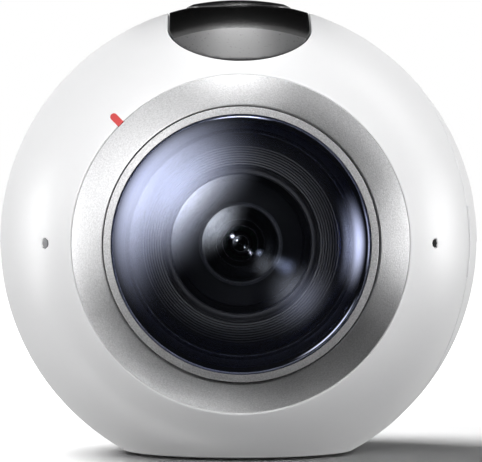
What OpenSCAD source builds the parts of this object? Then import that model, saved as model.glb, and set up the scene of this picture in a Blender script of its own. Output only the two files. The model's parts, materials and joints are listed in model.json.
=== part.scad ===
// Ball-shaped 360 degree camera with a fisheye lens on its front and another on its back.
// The origin is the middle of the foot. +Z is up, the front lens looks along -Y, the door is on +X.

/* [Ball] */
// Radius of the ball-shaped body
ball_r = 29.7; // [29.2:0.1:30.4]
// Wall thickness of the two half shells
wall = 1.6; // [1.4:0.1:1.8]
// Gap where the two half shells meet
seam_gap = 0.1; // [0.04:0.02:0.2]

/* [Lens ring and bezel] */
// Outer radius of the sloped metal ring
ring_r = 20.1; // [19.8:0.1:20.6]
// Radial width of the sloped ring
ring_w = 3.75; // [3.5:0.05:4]
// Height that the ring rises from the ball to its inner edge
ring_rise = 3.75; // [3.4:0.05:4.2]
// Thickness of the ring, measured along the lens axis
ring_t = 1.65; // [1.4:0.05:1.9]
// Depth of the skirt that fits the hole in the shell
ring_skirt = 2.1; // [1.8:0.05:2.2]
// Thickness of that skirt
ring_skirt_t = 1.4; // [1.2:0.05:1.5]
// Wall of the bezel that clamps the front glass
bezel_wall = 0.47; // [0.4:0.01:0.6]
// How far the bezel's lip covers the edge of the glass
bezel_lip = 0.42; // [0.35:0.01:0.5]
// Thickness of that lip
bezel_lip_t = 0.2; // [0.15:0.01:0.3]
// Depth of the bezel below the ring's inner edge
bezel_skirt = 3; // [2.4:0.1:3.4]

/* [Optics] */
// Height of the front glass over its own edge
dome_rise = 7.84; // [7.5:0.02:8.1]
// Depth of the front glass's edge below the ring's inner edge
dome_drop = 0.1; // [0.05:0.01:0.2]
// Thickness of the front glass
dome_t = 1.4; // [1.2:0.1:1.6]
// Height of the front glass's ground edge
dome_edge_t = 0.9; // [0.7:0.05:1.1]
// Thickness of the barrel's wall under the front glass
cup_wall = 1.5; // [1.3:0.1:1.7]
// Depth of the barrel's cup below the front glass
cup_depth = 4.35; // [4:0.05:4.8]
// Gap between the baffle's ribbed part and the barrel's wall
baffle_land = 2.48; // [2:0.02:2.9]
// Radial width of the baffle's ribbed part
rib_band = 2.3; // [1.9:0.1:2.5]
// Number of ribs on the baffle
rib_count = 7; // [5:1:9]
// Height that the ribs step down towards the middle
rib_fall = 1.7; // [1.2:0.1:2]
// Radial width of the ring that holds the second lens down
retainer_w = 0.94; // [0.7:0.02:1.2]
// Outside radius of curvature of the second lens
inner_dome_r = 16.5; // [15.5:0.1:18]
// Height of the second lens above the barrel's shelf
inner_rise = 4.2; // [3.9:0.1:4.5]
// Thickness of the second lens's edge
inner_edge_t = 3.1; // [2.6:0.1:3.4]
// Width of the shelf that the second lens stands on
inner_shelf = 1.6; // [1.2:0.1:1.8]
// Height of the ring that holds the second lens down
retainer_h = 1.9; // [1.5:0.1:2.1]
// Radius of the hole in the aperture stop
stop_r = 2.13; // [1.8:0.05:2.5]
// Outer radius of the stop's raised ring
stop_ring_r = 5; // [4.6:0.1:5.4]
// Thickness of the aperture stop
stop_t = 1.2; // [1:0.1:1.4]
// Thickness of the rear lens group
relay_t = 2.6; // [2.2:0.1:3]
// Radius of curvature of the rear lens group
relay_curve_r = 18; // [16:0.5:24]
// Width of the shelf that the rear lens group stands on
relay_shelf = 1; // [0.7:0.1:1.2]
// Wall of the barrel's tube behind the second lens
tube_wall = 1.6; // [1.3:0.1:1.8]
// Thickness of the barrel's mounting flange
flange_t = 1.4; // [1.2:0.1:1.6]
// Radius of the barrel's four mounting posts
post_r = 2; // [1.8:0.1:2.1]
// Wall between the battery's pocket and a screw of the posts
post_web = 1.05; // [0.9:0.05:1.2]
// Side of the image sensor's circuit board
sensor_board_w = 21.6; // [21.6:0.1:22.6]
// Width of the image sensor
sensor_w = 8.4; // [7:0.1:8.6]
// Height of the image sensor
sensor_h = 6.6; // [6:0.1:7]
// Thickness of the image sensor
sensor_t = 1; // [0.8:0.1:1.2]

/* [Top panel and shutter] */
// Half the width of the black top panel
panel_half_w = 8.65; // [8.5:0.05:9]
// Strip of the shell between the panel's end and a lens ring, along the lens axis
panel_land = 1.8; // [1.6:0.01:2.2]
// Thickness of the top panel
panel_t = 1; // [0.9:0.05:1.1]
// Width of the ledge in the shells that the panel rests on
panel_ledge = 1.2; // [0.9:0.1:1.4]
// Length of the panel's sloped ends along the lens axis
slope_l = 5.57; // [5.3:0.01:5.8]
// Radius of the shutter button
button_r = 6.5; // [6.3:0.05:6.6]
// Height of the button's top above the ball
button_proud = 0.3; // [0.2:0.05:0.5]
// Height of the button's edge above the ball
button_edge = 0.1; // [0.05:0.01:0.15]
// Slope of the bevel from that edge to the button's domed top
button_bevel = 25; // [22:1:30]
// How far the button's flange reaches under the panel
button_flange = 0.6; // [0.5:0.05:0.7]
// Thickness of the button's flange
button_flange_t = 0.7; // [0.5:0.1:0.9]
// Travel of the shutter button
button_travel = 0.4; // [0.3:0.05:0.5]
// Width of the display window
display_w = 12; // [11:0.1:12.4]
// Strip of the panel between the button and the display
button_land = 1.94; // [1.6:0.02:2.2]
// Strip of the panel between the display and the sloped end
display_land = 0.9; // [0.7:0.05:1.1]
// Thickness of the display module
display_t = 1.4; // [1.2:0.1:1.6]
// Half the width of the bracket under the display
bracket_half_w = 4; // [3:0.1:5]

/* [Side door] */
// Half the width of the side door
door_half_w = 9.2; // [9:0.1:9.4]
// Half the height of the side door
door_half_h = 20.4; // [20.2:0.1:20.8]
// How square the door's outline is, where 2 is an ellipse
door_square = 2.55; // [2.4:0.05:2.7]
// Thickness of the side door
door_t = 1.1; // [0.9:0.05:1.2]
// Gap round the side door
door_gap = 0.24; // [0.22:0.01:0.28]
// Lean of the door's edges, which lets the door swing out
door_draft = 11; // [10:0.5:12]
// Length of the finger notch at the door's front edge
notch_l = 8.8; // [8:0.1:9.6]
// Width of the finger notch
notch_w = 0.35; // [0.3:0.05:0.5]
// Radius of the hinge's knuckles
knuckle_r = 0.85; // [0.8:0.05:0.95]
// Length of the door's own knuckle
knuckle_l = 3.4; // [3:0.1:3.8]
// Length of the whole hinge
hinge_l = 9.2; // [8.6:0.1:9.6]
// Radius of the hinge pin
pin_r = 0.4; // [0.35:0.05:0.5]
// Depth of the pin's middle below the ball's surface
hinge_inset = 0.4; // [0.35:0.05:0.5]
// Width of the rim of the battery bay, outside the door's edge
bay_rim = 1; // [0.8:0.1:1.2]
// Wall of the battery bay, inside the door's edge
bay_wall = 1.6; // [1.4:0.1:2]
// Thickness of the battery bay's floor
bay_floor = 1; // [0.8:0.1:1.2]
// Depth of the bay's walls behind its floor
bay_back = 3.6; // [3:0.1:4]
// Thickness of the seal between the bay and the door
gasket_t = 0.3; // [0.2:0.02:0.36]
// Width of that seal
gasket_w = 1; // [0.8:0.1:1.1]
// Distance of that seal from the door's edge
gasket_inset = 0.4; // [0.3:0.05:0.5]

/* [Side keys] */
// Radius of the menu and power keys
key_r = 2.6; // [2.3:0.1:2.7]
// Distance of both keys behind the seam
key_y = 4.2; // [4:0.1:4.5]
// Height of the power key, and depth of the menu key, from the ball's centre
key_dz = 5.2; // [4.9:0.1:5.6]
// How far a key's flange reaches under the shell
key_flange = 0.7; // [0.5:0.1:0.9]
// Thickness of a key's flange
key_flange_t = 0.6; // [0.5:0.1:0.8]
// Radius of a key's stem, and of the shutter button's
stem_r = 1; // [0.8:0.1:1.2]
// Travel of the side keys
key_travel = 0.35; // [0.25:0.05:0.4]

/* [Small outside pieces] */
// Distance of the status lights and microphones from the lens ring's hole
dot_land = 3.2; // [2.9:0.1:3.5]
// Radius of a status light window
light_r = 0.58; // [0.5:0.02:0.7]
// Radius of a microphone hole
mic_r = 0.6; // [0.5:0.02:0.7]
// Radius of a microphone capsule
mic_capsule_r = 1.8; // [1.5:0.1:2]
// Height of a microphone capsule
mic_capsule_h = 1.5; // [1.2:0.1:1.7]
// Depth of the wire mesh below the ball's surface
mesh_depth = 0.25; // [0.15:0.05:0.4]
// Length of the red index mark
mark_l = 1.6; // [1.3:0.1:2]
// Width of the red index mark
mark_w = 0.85; // [0.7:0.05:1]
// Depth of the red index mark
mark_depth = 0.5; // [0.3:0.1:0.7]
// Direction of the red index mark round the front lens
mark_angle = 135; // [130:1:140]

/* [Base] */
// Radius of the flat cut in the ball's underside
flat_r = 14.17; // [13.9:0.01:14.4]
// Radius of the base plate's plug in the shells
base_r = 11.5; // [11:0.1:12]
// Radius of the base plate's flange inside the shells
base_flange_r = 14.2; // [13.6:0.1:14.6]
// Thickness of that flange
base_flange_t = 1.2; // [1:0.1:1.4]
// Height that the rubber foot holds the shells off the floor
foot_rise = 0.3; // [0.2:0.05:0.4]
// Thickness of the rubber foot
foot_t = 1.1; // [0.9:0.1:1.3]
// Mean radius of the rubber foot
foot_r = 9.6; // [9.2:0.1:9.8]
// Width of the rubber foot
foot_w = 2.4; // [2:0.1:2.6]
// Radius of the tripod thread
thread_r = 3.175; // [2.8:0.025:3.4]
// Depth of the tripod thread
thread_l = 5.5; // [4.5:0.1:6]
// Radius of the tripod socket's body
socket_r = 4.9; // [4.6:0.1:5.2]
// Radius of the tripod socket's flange
socket_flange_r = 6.4; // [6:0.1:6.6]
// Thickness of the tripod socket's flange
socket_flange_t = 1.2; // [1:0.1:1.5]

/* [Inside] */
// Depth of the middle frame's two sides below the ball's surface
frame_inset = 9.7; // [9.4:0.1:9.9]
// Wall of the frame beside the memory card's socket
frame_wall = 0.6; // [0.5:0.05:0.9]
// Thickness of the circuit boards
board_t = 0.9; // [0.8:0.1:1.1]
// Wall between the battery's contacts and the main board's pocket
back_wall = 2.13; // [1.8:0.01:2.4]
// Thickness of the battery
battery_t = 8; // [7.4:0.1:8.2]
// Wall between the battery and the charging socket
usb_web = 1.45; // [1.2:0.05:1.8]
// Depth of the contact block behind the battery
contact_t = 1.2; // [1:0.1:1.3]
// Width of the memory card
card_w = 11; // [10.6:0.1:11.1]
// Length of the memory card
card_l = 15; // [14.6:0.1:15.4]
// Thickness of the memory card
card_t = 1; // [0.9:0.1:1.1]
// Wall of the memory card's socket
card_wall = 0.35; // [0.3:0.05:0.4]
// Wall of the frame under the memory card's socket
card_floor = 1.15; // [1:0.05:1.3]
// Width of the charging socket
usb_w = 7.6; // [7.4:0.1:9]
// Height of the charging socket
usb_h = 2.8; // [2.6:0.1:3]
// Length of the charging socket
usb_l = 5.5; // [5:0.1:6]
// Wall of the charging socket
usb_wall = 0.3; // [0.25:0.05:0.4]
// Wall of the frame over the charging socket
usb_roof = 1.8; // [1.6:0.05:2]
// Depth of the main board's pocket in the frame
pocket_d = 8.5; // [8:0.1:8.6]
// Wall of the frame round that pocket
pocket_wall = 1; // [0.8:0.1:1.2]
// Wall of the frame above and below that pocket
pocket_end = 2.95; // [2.6:0.05:3.4]
// Height of the posts that the main board stands on
standoff = 1; // [0.8:0.1:1.4]
// Side of the main processor
chip_w = 8; // [7:0.1:9]
// Thickness of the main processor
chip_t = 1; // [0.8:0.1:1.2]
// Height of the heat spreader
spreader_h = 18; // [16:0.5:22]
// Thickness of the heat spreader
spreader_t = 1; // [0.8:0.1:1.2]
// Height of the board behind the side keys
key_board_h = 26; // [22:0.5:27]
// Width of the board under the shutter button
top_board_w = 14; // [13:0.1:15]
// Length of the board under the shutter button
top_board_l = 24; // [23:0.1:25]
// Side of a push switch
switch_w = 3.4; // [3:0.1:3.8]
// Height of a push switch's body
switch_h = 1; // [0.8:0.1:1.2]
// Radius of a push switch's plunger
plunger_r = 0.8; // [0.6:0.1:1]
// Height of a push switch's plunger
plunger_h = 0.4; // [0.3:0.05:0.5]

/* [Screws] */
// Radius of the screws' threads
screw_r = 0.7; // [0.6:0.05:0.8]
// Radius of the screws' heads
screw_head_r = 1.25; // [1.1:0.05:1.35]
// Height of the screws' heads
screw_head_t = 0.9; // [0.7:0.05:1]
// Length of the screws' grip in the frame
screw_bite = 2.2; // [1.8:0.1:2.3]
// Side of the square drive in the screws' heads
drive_w = 0.9; // [0.7:0.05:1]

/* [Fits] */
// Gap round a piece that sits in a hole or a pocket
fit = 0.1; // [0.06:0.01:0.12]
// Gap between faces that rest on each other
seat = 0.03; // [0.02:0.01:0.05]
// Running gap of the hinge pin and the keys
run = 0.06; // [0.04:0.01:0.1]
// Gap between a moving piece and the one it could touch
clear = 0.15; // [0.1:0.01:0.2]
// Room left between a stem and its switch at full travel
stop_gap = 0.05; // [0.03:0.01:0.1]

/* [Hidden] */
$fn = 96;
front = -1;
rear = 1;
// A length that passes right through the object
through = 4 * ball_r;
// A length by which a cut runs past the face it starts from
past = seam_gap + fit;

// Distance along an axis from the middle of a ball to its surface, at an offset from that axis
function rise(radius, offset) = sqrt(radius * radius - offset * offset);

inner_r = ball_r - wall;
ball_z = foot_rise + rise(ball_r, flat_r);

// The frame holds the memory card's socket in its thickness, and its corners meet the shells
bay_out_r = inner_r - fit;
card_socket_w = card_w + 2 * fit + 2 * card_wall;
card_socket_h = card_t + 2 * fit + 2 * card_wall;
frame_half_w = ball_r - frame_inset;
frame_half_d = (card_socket_w + fit) / 2 + frame_wall;
frame_half_h = rise(bay_out_r, norm([frame_half_w, frame_half_d]));

// The card lies under the battery and the charging socket over it
card_dz = frame_half_h - card_floor - (card_socket_h + fit) / 2;
usb_dz = frame_half_h - usb_roof - (usb_h + fit) / 2;
battery_h = 2 * (usb_dz - (usb_h + fit) / 2 - usb_web - fit);

// The lens's heights are measured along its axis from the ball's centre
ring_u = rise(ball_r, ring_r);
ring_top_u = ring_u + ring_rise;
ring_in_r = ring_r - ring_w;
ring_bottom_u = ring_u - ring_skirt;
ring_skirt_in_r = ring_r - ring_skirt_t;
bezel_r = ring_in_r - fit;
bezel_bore_r = bezel_r - bezel_wall;
aperture_r = bezel_bore_r - bezel_lip;
dome_edge_r = bezel_bore_r - fit;
dome_edge_u = ring_top_u - dome_drop;
dome_apex_u = dome_edge_u + dome_rise;
dome_r = (dome_edge_r * dome_edge_r + dome_rise * dome_rise) / (2 * dome_rise);
dome_mid_u = dome_apex_u - dome_r;
lip_u = dome_mid_u + rise(dome_r, aperture_r) + fit;
dome_seat_u = dome_edge_u - dome_edge_t;
cup_r = dome_edge_r;
cup_bore_r = cup_r - cup_wall;
shelf_u = dome_seat_u - cup_depth;
rib_outer_r = cup_bore_r - baffle_land;
rib_inner_r = rib_outer_r - rib_band;
retainer_r = rib_inner_r - fit;
inner_lens_r = retainer_r - retainer_w - fit;
inner_rim_r = retainer_r - fit;
inner_bore_r = inner_rim_r + fit / 2;
inner_seat_u = shelf_u - inner_edge_t;
inner_mid_u = shelf_u + inner_rise - inner_dome_r;
stop_bore_r = inner_bore_r - inner_shelf;
sensor_board_u = frame_half_d + seat;
relay_seat_u = inner_seat_u - stop_t - relay_t - 2 * seat;
relay_bore_r = stop_bore_r - relay_shelf;
tube_r = inner_bore_r + tube_wall;
flange_top_u = ring_bottom_u - seat;
flange_bottom_u = flange_top_u - flange_t;
flange_r = ring_skirt_in_r + ring_skirt_t * 2 / 3;
tube_bottom_u = sensor_board_u + board_t + seat;
post_ring_r = (cup_r + ring_skirt_in_r) / 2;
post_dz = battery_h / 2 + fit + post_web + screw_r + seat;
post_x = rise(post_ring_r, post_dz);

// The top panel's sloped ends follow the straight line between these two points of the ball
panel_half_l = rise(ball_r, ring_r + fit) - panel_land;
facet_y = panel_half_l - slope_l;
facet_end_y = panel_half_l + fit;
panel_in_r = ball_r - panel_t;
button_top = ball_r + button_proud;
button_flange_r = button_r + button_flange;
button_flange_top = rise(panel_in_r, button_flange_r) - clear;
top_board_dz = frame_half_h + seat;
top_switch_dz = top_board_dz + board_t + switch_h + plunger_h;
display_l = facet_y - display_land - button_r - run - button_land;
display_y = facet_y - display_land - display_l / 2;
bracket_l = display_l / 2;
display_angle = asin(display_y / ball_r);
display_reach = norm([display_w, display_l]) / 2;
display_top = rise(panel_in_r, display_reach) - fit;

// The door turns about a pin that stands upright at its rear edge
door_edge_x = rise(ball_r, door_half_w);
door_in_r = ball_r - door_t;
hinge_y = door_half_w + door_gap;
hinge_x = rise(ball_r, hinge_y) - hinge_inset;
bay_floor_x = frame_half_w + seat;
bay_top_x = bay_floor_x + bay_floor;

// The side keys push switches on a board that covers the frame's pocket
key_board_x = frame_half_w + seat;
key_switch_x = key_board_x + board_t + switch_h + plunger_h;
key_flange_r = key_r + key_flange;
key_flange_reach = norm([key_y + key_flange_r, key_dz + key_flange_r]);
key_flange_x = rise(inner_r, key_flange_reach) - fit;

// Direction of the status lights and the microphones, seen from above
dot_x = ring_r + fit + dot_land;
dot_angle = acos(dot_x / ball_r);

base_flange_z = ball_z - rise(inner_r, base_flange_r) + fit;
base_top_z = base_flange_z + base_flange_t;
frame_bottom_z = ball_z - frame_half_h;
groove_z = foot_t + seat;

pocket_x = frame_half_w - pocket_d;
pocket_h = 2 * (frame_half_h - pocket_end);
contact_x = back_wall + fit - pocket_x;
battery_x = contact_x + contact_t + fit;
main_board_x = pocket_x + standoff + seat;
chip_x = main_board_x + board_t;
spreader_x = chip_x + chip_t + seat;
card_end_x = bay_top_x;
usb_end_x = bay_top_x;

// Shapes that several pieces share

// A ball about the body's centre
module ball(radius) {
  translate([0, 0, ball_z]) rotate([90, 0, 0]) rotate([0, 0, -90]) sphere(radius);
}

// The wall between two balls
module ball_wall(outer, inner) {
  difference() {
    ball(outer);
    ball(inner);
  }
}

// Turns the Z axis into the axis of the front or the rear lens
module on_lens(side) {
  translate([0, 0, ball_z]) rotate([-90 * side, 0, 0]) children();
}

// A round piece of a lens, from its outline of radius and height
module lens_turning(side, outline) {
  on_lens(side) rotate_extrude() polygon(outline);
}

// Four places round a lens, where its barrel is screwed to the frame
module at_posts() {
  for (x = [-1, 1])
    for (y = [-1, 1])
      translate([x * post_x, y * post_dz, 0]) children();
}

// A box given by its lowest and highest corners
module span(low, high) {
  translate(low) cube(high - low);
}

// A box centred on Y and on a height, between two places on X
module bay_box(x0, x1, width, dz, height) {
  span([x0, -width / 2, ball_z + dz - height / 2], [x1, width / 2, ball_z + dz + height / 2]);
}

// Upright prism of the top panel's outline, grown or shrunk
module panel_prism(grow) {
  end_y = panel_half_l - panel_half_w;
  outline = [
    for (end = [1, -1])
      for (a = [0:5:180])
        [(panel_half_w + grow) * cos(a) * end, end * (end_y + (panel_half_w + grow) * sin(a))]
  ];
  translate([0, 0, ball_z]) linear_extrude(through) polygon(outline);
}

// Prism of the door's outline through the side of the ball, grown or shrunk
module door_prism(grow) {
  function swell(value) = sign(value) * pow(abs(value), 2 / door_square);
  outline = [
    for (a = [0:5:355])
      [(door_half_w + grow) * swell(cos(a)), (door_half_h + grow) * swell(sin(a))]
  ];
  reach = door_edge_x - pocket_x;
  translate([door_edge_x, 0, ball_z])
    rotate([0, 0, -door_draft])
      translate([-reach, 0, 0])
        rotate([90, 0, 90]) linear_extrude(2 * reach) polygon(outline);
}

// Rod along the hinge's axis between two heights from the ball's centre
module hinge_rod(radius, low, high) {
  translate([hinge_x, hinge_y, ball_z + low]) cylinder(r = radius, h = high - low);
}

// Rod that stands on the ball's surface at a status light or a microphone
module dot_rod(side, across, radius, low, high) {
  turn = side * (across * side > 0 ? dot_angle : 180 - dot_angle);
  translate([0, 0, ball_z])
    rotate([0, 0, turn]) rotate([0, 90, 0]) translate([0, 0, low]) cylinder(r = radius, h = high - low);
}

// Rod along X on a side key's axis, between two distances from the middle
module key_rod(dz, radius, low, high) {
  translate([-high, key_y, ball_z + dz]) rotate([0, 90, 0]) cylinder(r = radius, h = high - low);
}

// Room round the flanges and posts of both lens barrels
module barrel_room() {
  for (side = [front, rear])
    on_lens(side) {
      translate([0, 0, flange_bottom_u - clear]) cylinder(r = flange_r + clear, h = through);
      at_posts() cylinder(r = post_r + clear, h = through);
    }
}

// Outline of the red index mark on the front lens's axis
module mark_prism(start, grow) {
  end_r = ring_r + fit + mark_l - mark_w / 2;
  on_lens(front) rotate([0, 0, mark_angle]) linear_extrude(through) {
    translate([start, -mark_w / 2 - grow]) square([end_r - start, mark_w + 2 * grow]);
    translate([end_r, 0]) circle(mark_w / 2 + grow);
  }
}

// A screw that stands on its head's underside at Z = 0, with its tip up
module screw(length) {
  difference() {
    union() {
      translate([0, 0, -screw_head_t]) cylinder(r = screw_head_r, h = screw_head_t);
      cylinder(r = screw_r, h = length);
    }
    translate([-drive_w / 2, -drive_w / 2, -screw_head_t - past])
      cube([drive_w, drive_w, past + screw_head_t / 2]);
  }
}

// A push switch that stands on its board at Z = 0
module push_switch() {
  translate([-switch_w / 2, -switch_w / 2, -board_t / 2]) cube([switch_w, switch_w, board_t / 2 + switch_h]);
  cylinder(r = plunger_r, h = switch_h + plunger_h);
}

// Body

module half_shell(side) {
  color("white") difference() {
    union() {
      intersection() {
        difference() {
          ball_wall(ball_r, inner_r);
          on_lens(side) cylinder(r = ring_r + fit, h = through);
          door_prism(door_gap);
          difference() {
            panel_prism(fit);
            ball(panel_in_r - seat);
          }
          panel_prism(-panel_ledge);
        }
        translate([-through / 2, side * through / 2 + side * seam_gap / 2 - through / 2, foot_rise])
          cube(through);
      }
      if (side == rear)
        for (turn = [0, 180])
          translate([0, 0, ball_z]) rotate([turn, 0, 0])
            translate([hinge_x, hinge_y * (turn > 0 ? -1 : 1), knuckle_l / 2 + clear])
              cylinder(r = knuckle_r, h = (hinge_l - knuckle_l) / 2 - clear);
    }
    translate([0, 0, foot_rise - past]) cylinder(r = base_r + fit, h = past + base_flange_z);
    dot_rod(side, side, light_r + fit / 2, 0, through);
    dot_rod(side, -side, mic_r, 0, through);
    if (side == rear) {
      hinge_rod(pin_r + seat, -hinge_l, hinge_l);
      hinge_rod(knuckle_r + clear, -knuckle_l / 2 - clear, knuckle_l / 2 + clear);
      key_rod(key_dz, key_r + run, 0, through);
      key_rod(-key_dz, key_r + run, 0, through);
    }
    if (side == front)
      difference() {
        mark_prism(ring_r - mark_l, seat);
        ball(ball_r - mark_depth - seat);
      }
  }
}

module front_shell() { half_shell(front); }
module rear_shell() { half_shell(rear); }

module index_mark() {
  color("red") intersection() {
    mark_prism(ring_r + fit, 0);
    ball_wall(ball_r, ball_r - mark_depth);
  }
}

// Lens

module lens_ring(side) {
  back_r = ring_skirt_in_r;
  back_u = ring_u + ring_skirt_t - ring_t;
  color("silver") lens_turning(side, [
    [ring_r, ring_bottom_u], [ring_r, ring_u], [ring_in_r, ring_top_u],
    [ring_in_r, ring_top_u - ring_t], [back_r, back_u], [back_r, ring_bottom_u]
  ]);
}

module lens_bezel(side) {
  bottom_u = ring_top_u - bezel_skirt;
  color("gainsboro") lens_turning(side, [
    [bezel_bore_r, bottom_u], [bezel_r, bottom_u], [bezel_r, ring_top_u],
    [aperture_r, lip_u + bezel_lip_t], [aperture_r, lip_u], [bezel_bore_r, dome_edge_u]
  ]);
}

module dome_lens(side) {
  color("lightblue", 0.4) on_lens(side) difference() {
    intersection() {
      translate([0, 0, dome_mid_u]) sphere(dome_r);
      translate([0, 0, dome_seat_u]) cylinder(r = dome_edge_r, h = dome_r);
    }
    translate([0, 0, dome_mid_u]) sphere(dome_r - dome_t);
  }
}

module lens_baffle(side) {
  top_u = dome_seat_u - dome_edge_t / 2;
  rib_w = (rib_outer_r - rib_inner_r) / rib_count;
  rib_h = rib_fall / rib_count;
  ribs = [
    for (i = [0:rib_count - 1])
      for (corner = [0, 1])
        [rib_outer_r - rib_w * (i + corner), top_u - rib_h * (i + 1)]
  ];
  outer_r = cup_bore_r - fit;
  bottom_u = shelf_u + seat;
  color("black") lens_turning(side, concat(
    [[rib_inner_r, bottom_u], [outer_r, bottom_u], [outer_r, top_u], [rib_outer_r, top_u]],
    ribs
  ));
}

module lens_retainer(side) {
  bottom_u = shelf_u + seat;
  bore_r = inner_lens_r + fit;
  color("dimgray") lens_turning(side, [
    [bore_r, bottom_u], [retainer_r, bottom_u], [retainer_r, bottom_u + retainer_h],
    [(bore_r + retainer_r) / 2, bottom_u + retainer_h], [bore_r, bottom_u + retainer_h / 2]
  ]);
}

module inner_lens(side) {
  color("lightblue", 0.4) on_lens(side) {
    translate([0, 0, inner_seat_u + seat]) cylinder(r = inner_rim_r, h = inner_edge_t - 2 * seat);
    intersection() {
      translate([0, 0, inner_mid_u]) sphere(inner_dome_r);
      translate([0, 0, inner_seat_u + seat]) cylinder(r = inner_lens_r, h = inner_dome_r);
    }
  }
}

module aperture_stop(side) {
  top_u = inner_seat_u - seat;
  step = stop_t / 3;
  color("black") lens_turning(side, [
    [stop_r, top_u - stop_t], [stop_bore_r - fit, top_u - stop_t], [stop_bore_r - fit, top_u],
    [stop_ring_r, top_u], [stop_ring_r - step, top_u - step],
    [stop_r + step, top_u - step], [stop_r, top_u - 2 * step]
  ]);
}

module relay_lens(side) {
  bottom_u = relay_seat_u + seat;
  color("lightblue", 0.4) on_lens(side) intersection() {
    translate([0, 0, bottom_u]) cylinder(r = stop_bore_r - fit, h = relay_t - seat);
    translate([0, 0, bottom_u + relay_t - seat - relay_curve_r]) sphere(relay_curve_r);
  }
}

module lens_barrel(side) {
  color("black") on_lens(side) difference() {
    union() {
      rotate_extrude() polygon([
        [cup_r, dome_seat_u - seat], [cup_r, flange_top_u], [flange_r, flange_top_u],
        [flange_r, flange_bottom_u], [tube_r, flange_bottom_u], [tube_r, tube_bottom_u],
        [relay_bore_r, tube_bottom_u], [relay_bore_r, relay_seat_u], [stop_bore_r, relay_seat_u],
        [stop_bore_r, inner_seat_u], [inner_bore_r, inner_seat_u], [inner_bore_r, shelf_u],
        [cup_bore_r, shelf_u], [cup_bore_r, dome_seat_u - seat]
      ]);
      at_posts() translate([0, 0, sensor_board_u]) cylinder(r = post_r, h = flange_top_u - sensor_board_u);
    }
    at_posts() cylinder(r = screw_r + seat, h = through);
  }
}

module sensor_board(side) {
  color("darkgreen") on_lens(side) {
    translate([-sensor_board_w / 2, -sensor_board_w / 2, sensor_board_u])
      cube([sensor_board_w, sensor_board_w, board_t]);
    translate([-sensor_w / 2, -sensor_h / 2, sensor_board_u])
      cube([sensor_w, sensor_h, board_t + sensor_t]);
  }
}

module front_lens_ring() { lens_ring(front); }
module front_lens_bezel() { lens_bezel(front); }
module front_dome_lens() { dome_lens(front); }
module front_lens_baffle() { lens_baffle(front); }
module front_lens_retainer() { lens_retainer(front); }
module front_inner_lens() { inner_lens(front); }
module front_aperture_stop() { aperture_stop(front); }
module front_relay_lens() { relay_lens(front); }
module front_lens_barrel() { lens_barrel(front); }
module front_sensor_board() { sensor_board(front); }
module rear_lens_ring() { lens_ring(rear); }
module rear_lens_bezel() { lens_bezel(rear); }
module rear_dome_lens() { dome_lens(rear); }
module rear_lens_baffle() { lens_baffle(rear); }
module rear_lens_retainer() { lens_retainer(rear); }
module rear_inner_lens() { inner_lens(rear); }
module rear_aperture_stop() { aperture_stop(rear); }
module rear_relay_lens() { relay_lens(rear); }
module rear_lens_barrel() { lens_barrel(rear); }
module rear_sensor_board() { sensor_board(rear); }

// Status lights and microphones

module status_window(side) {
  color("gray") intersection() {
    union() {
      dot_rod(side, side, light_r, inner_r - wall / 2, through);
      dot_rod(side, side, 2 * light_r, inner_r - wall, rise(inner_r, 2 * light_r) - seat);
    }
    ball(ball_r);
  }
}

module microphone(side) {
  capsule_top = rise(inner_r, mic_capsule_r) - seat;
  color("black") {
    dot_rod(side, -side, mic_capsule_r, capsule_top - mic_capsule_h, capsule_top);
    dot_rod(side, -side, mic_r - fit / 2, capsule_top - mic_capsule_h / 2, ball_r - mesh_depth);
  }
}

module front_status_window() { status_window(front); }
module rear_status_window() { status_window(rear); }
module front_microphone() { microphone(front); }
module rear_microphone() { microphone(rear); }

// Top

module display_prism(grow) {
  translate([-display_w / 2 - grow, display_y - display_l / 2 - grow, ball_z])
    cube([display_w + 2 * grow, display_l + 2 * grow, through]);
}

// The ball with its top cut to straight slopes at both ends of the panel
module faceted_ball() {
  cut = through / 2;
  near = [rise(ball_r, facet_y), facet_y];
  far = [rise(ball_r, facet_end_y), facet_end_y];
  lean = (far - near) * cut / norm(far - near);
  difference() {
    ball(ball_r);
    for (side = [front, rear])
      on_lens(side) rotate_extrude() polygon([near, far + lean / 2, near + [cut, 0]]);
  }
}

module top_panel() {
  color("black") difference() {
    intersection() {
      panel_prism(0);
      faceted_ball();
    }
    ball(panel_in_r);
    translate([0, 0, ball_z]) cylinder(r = button_r + run, h = through);
    display_prism(fit);
  }
}

module shutter_button() {
  flange_bottom = button_flange_top - button_flange_t;
  edge = rise(ball_r, button_r) + button_edge;
  inside = button_r / 2;
  top = edge + inside * tan(button_bevel);
  color("black") intersection() {
    ball(button_top);
    translate([0, 0, ball_z]) rotate_extrude() polygon([
      [0, top_switch_dz + button_travel + stop_gap], [stem_r, top_switch_dz + button_travel + stop_gap],
      [stem_r, flange_bottom], [button_flange_r, flange_bottom], [button_flange_r, button_flange_top],
      [button_r, button_flange_top], [button_r, edge], [inside, top], [0, top]
    ]);
  }
}

module display_window() {
  color("black") intersection() {
    display_prism(0);
    ball_wall(ball_r, panel_in_r);
  }
}

// Turns the Z axis towards the middle of the display
module on_display() {
  translate([0, 0, ball_z]) rotate([-display_angle, 0, 0]) children();
}

module display_module() {
  color("dimgray") on_display() translate([-display_w / 2, -display_l / 2, display_top - display_t])
    cube([display_w, display_l, display_t]);
}

module display_bracket() {
  bottom = top_board_dz + board_t + seat;
  place_y = (display_top - display_t) * sin(display_angle);
  color("gray") difference() {
    span([-bracket_half_w, place_y - bracket_l / 2, ball_z + bottom],
         [bracket_half_w, place_y + bracket_l / 2, ball_z + display_top]);
    on_display() translate([-display_w, -display_w, display_top - display_t - seat])
      cube([2 * display_w, 2 * display_w, display_w]);
  }
}

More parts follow.
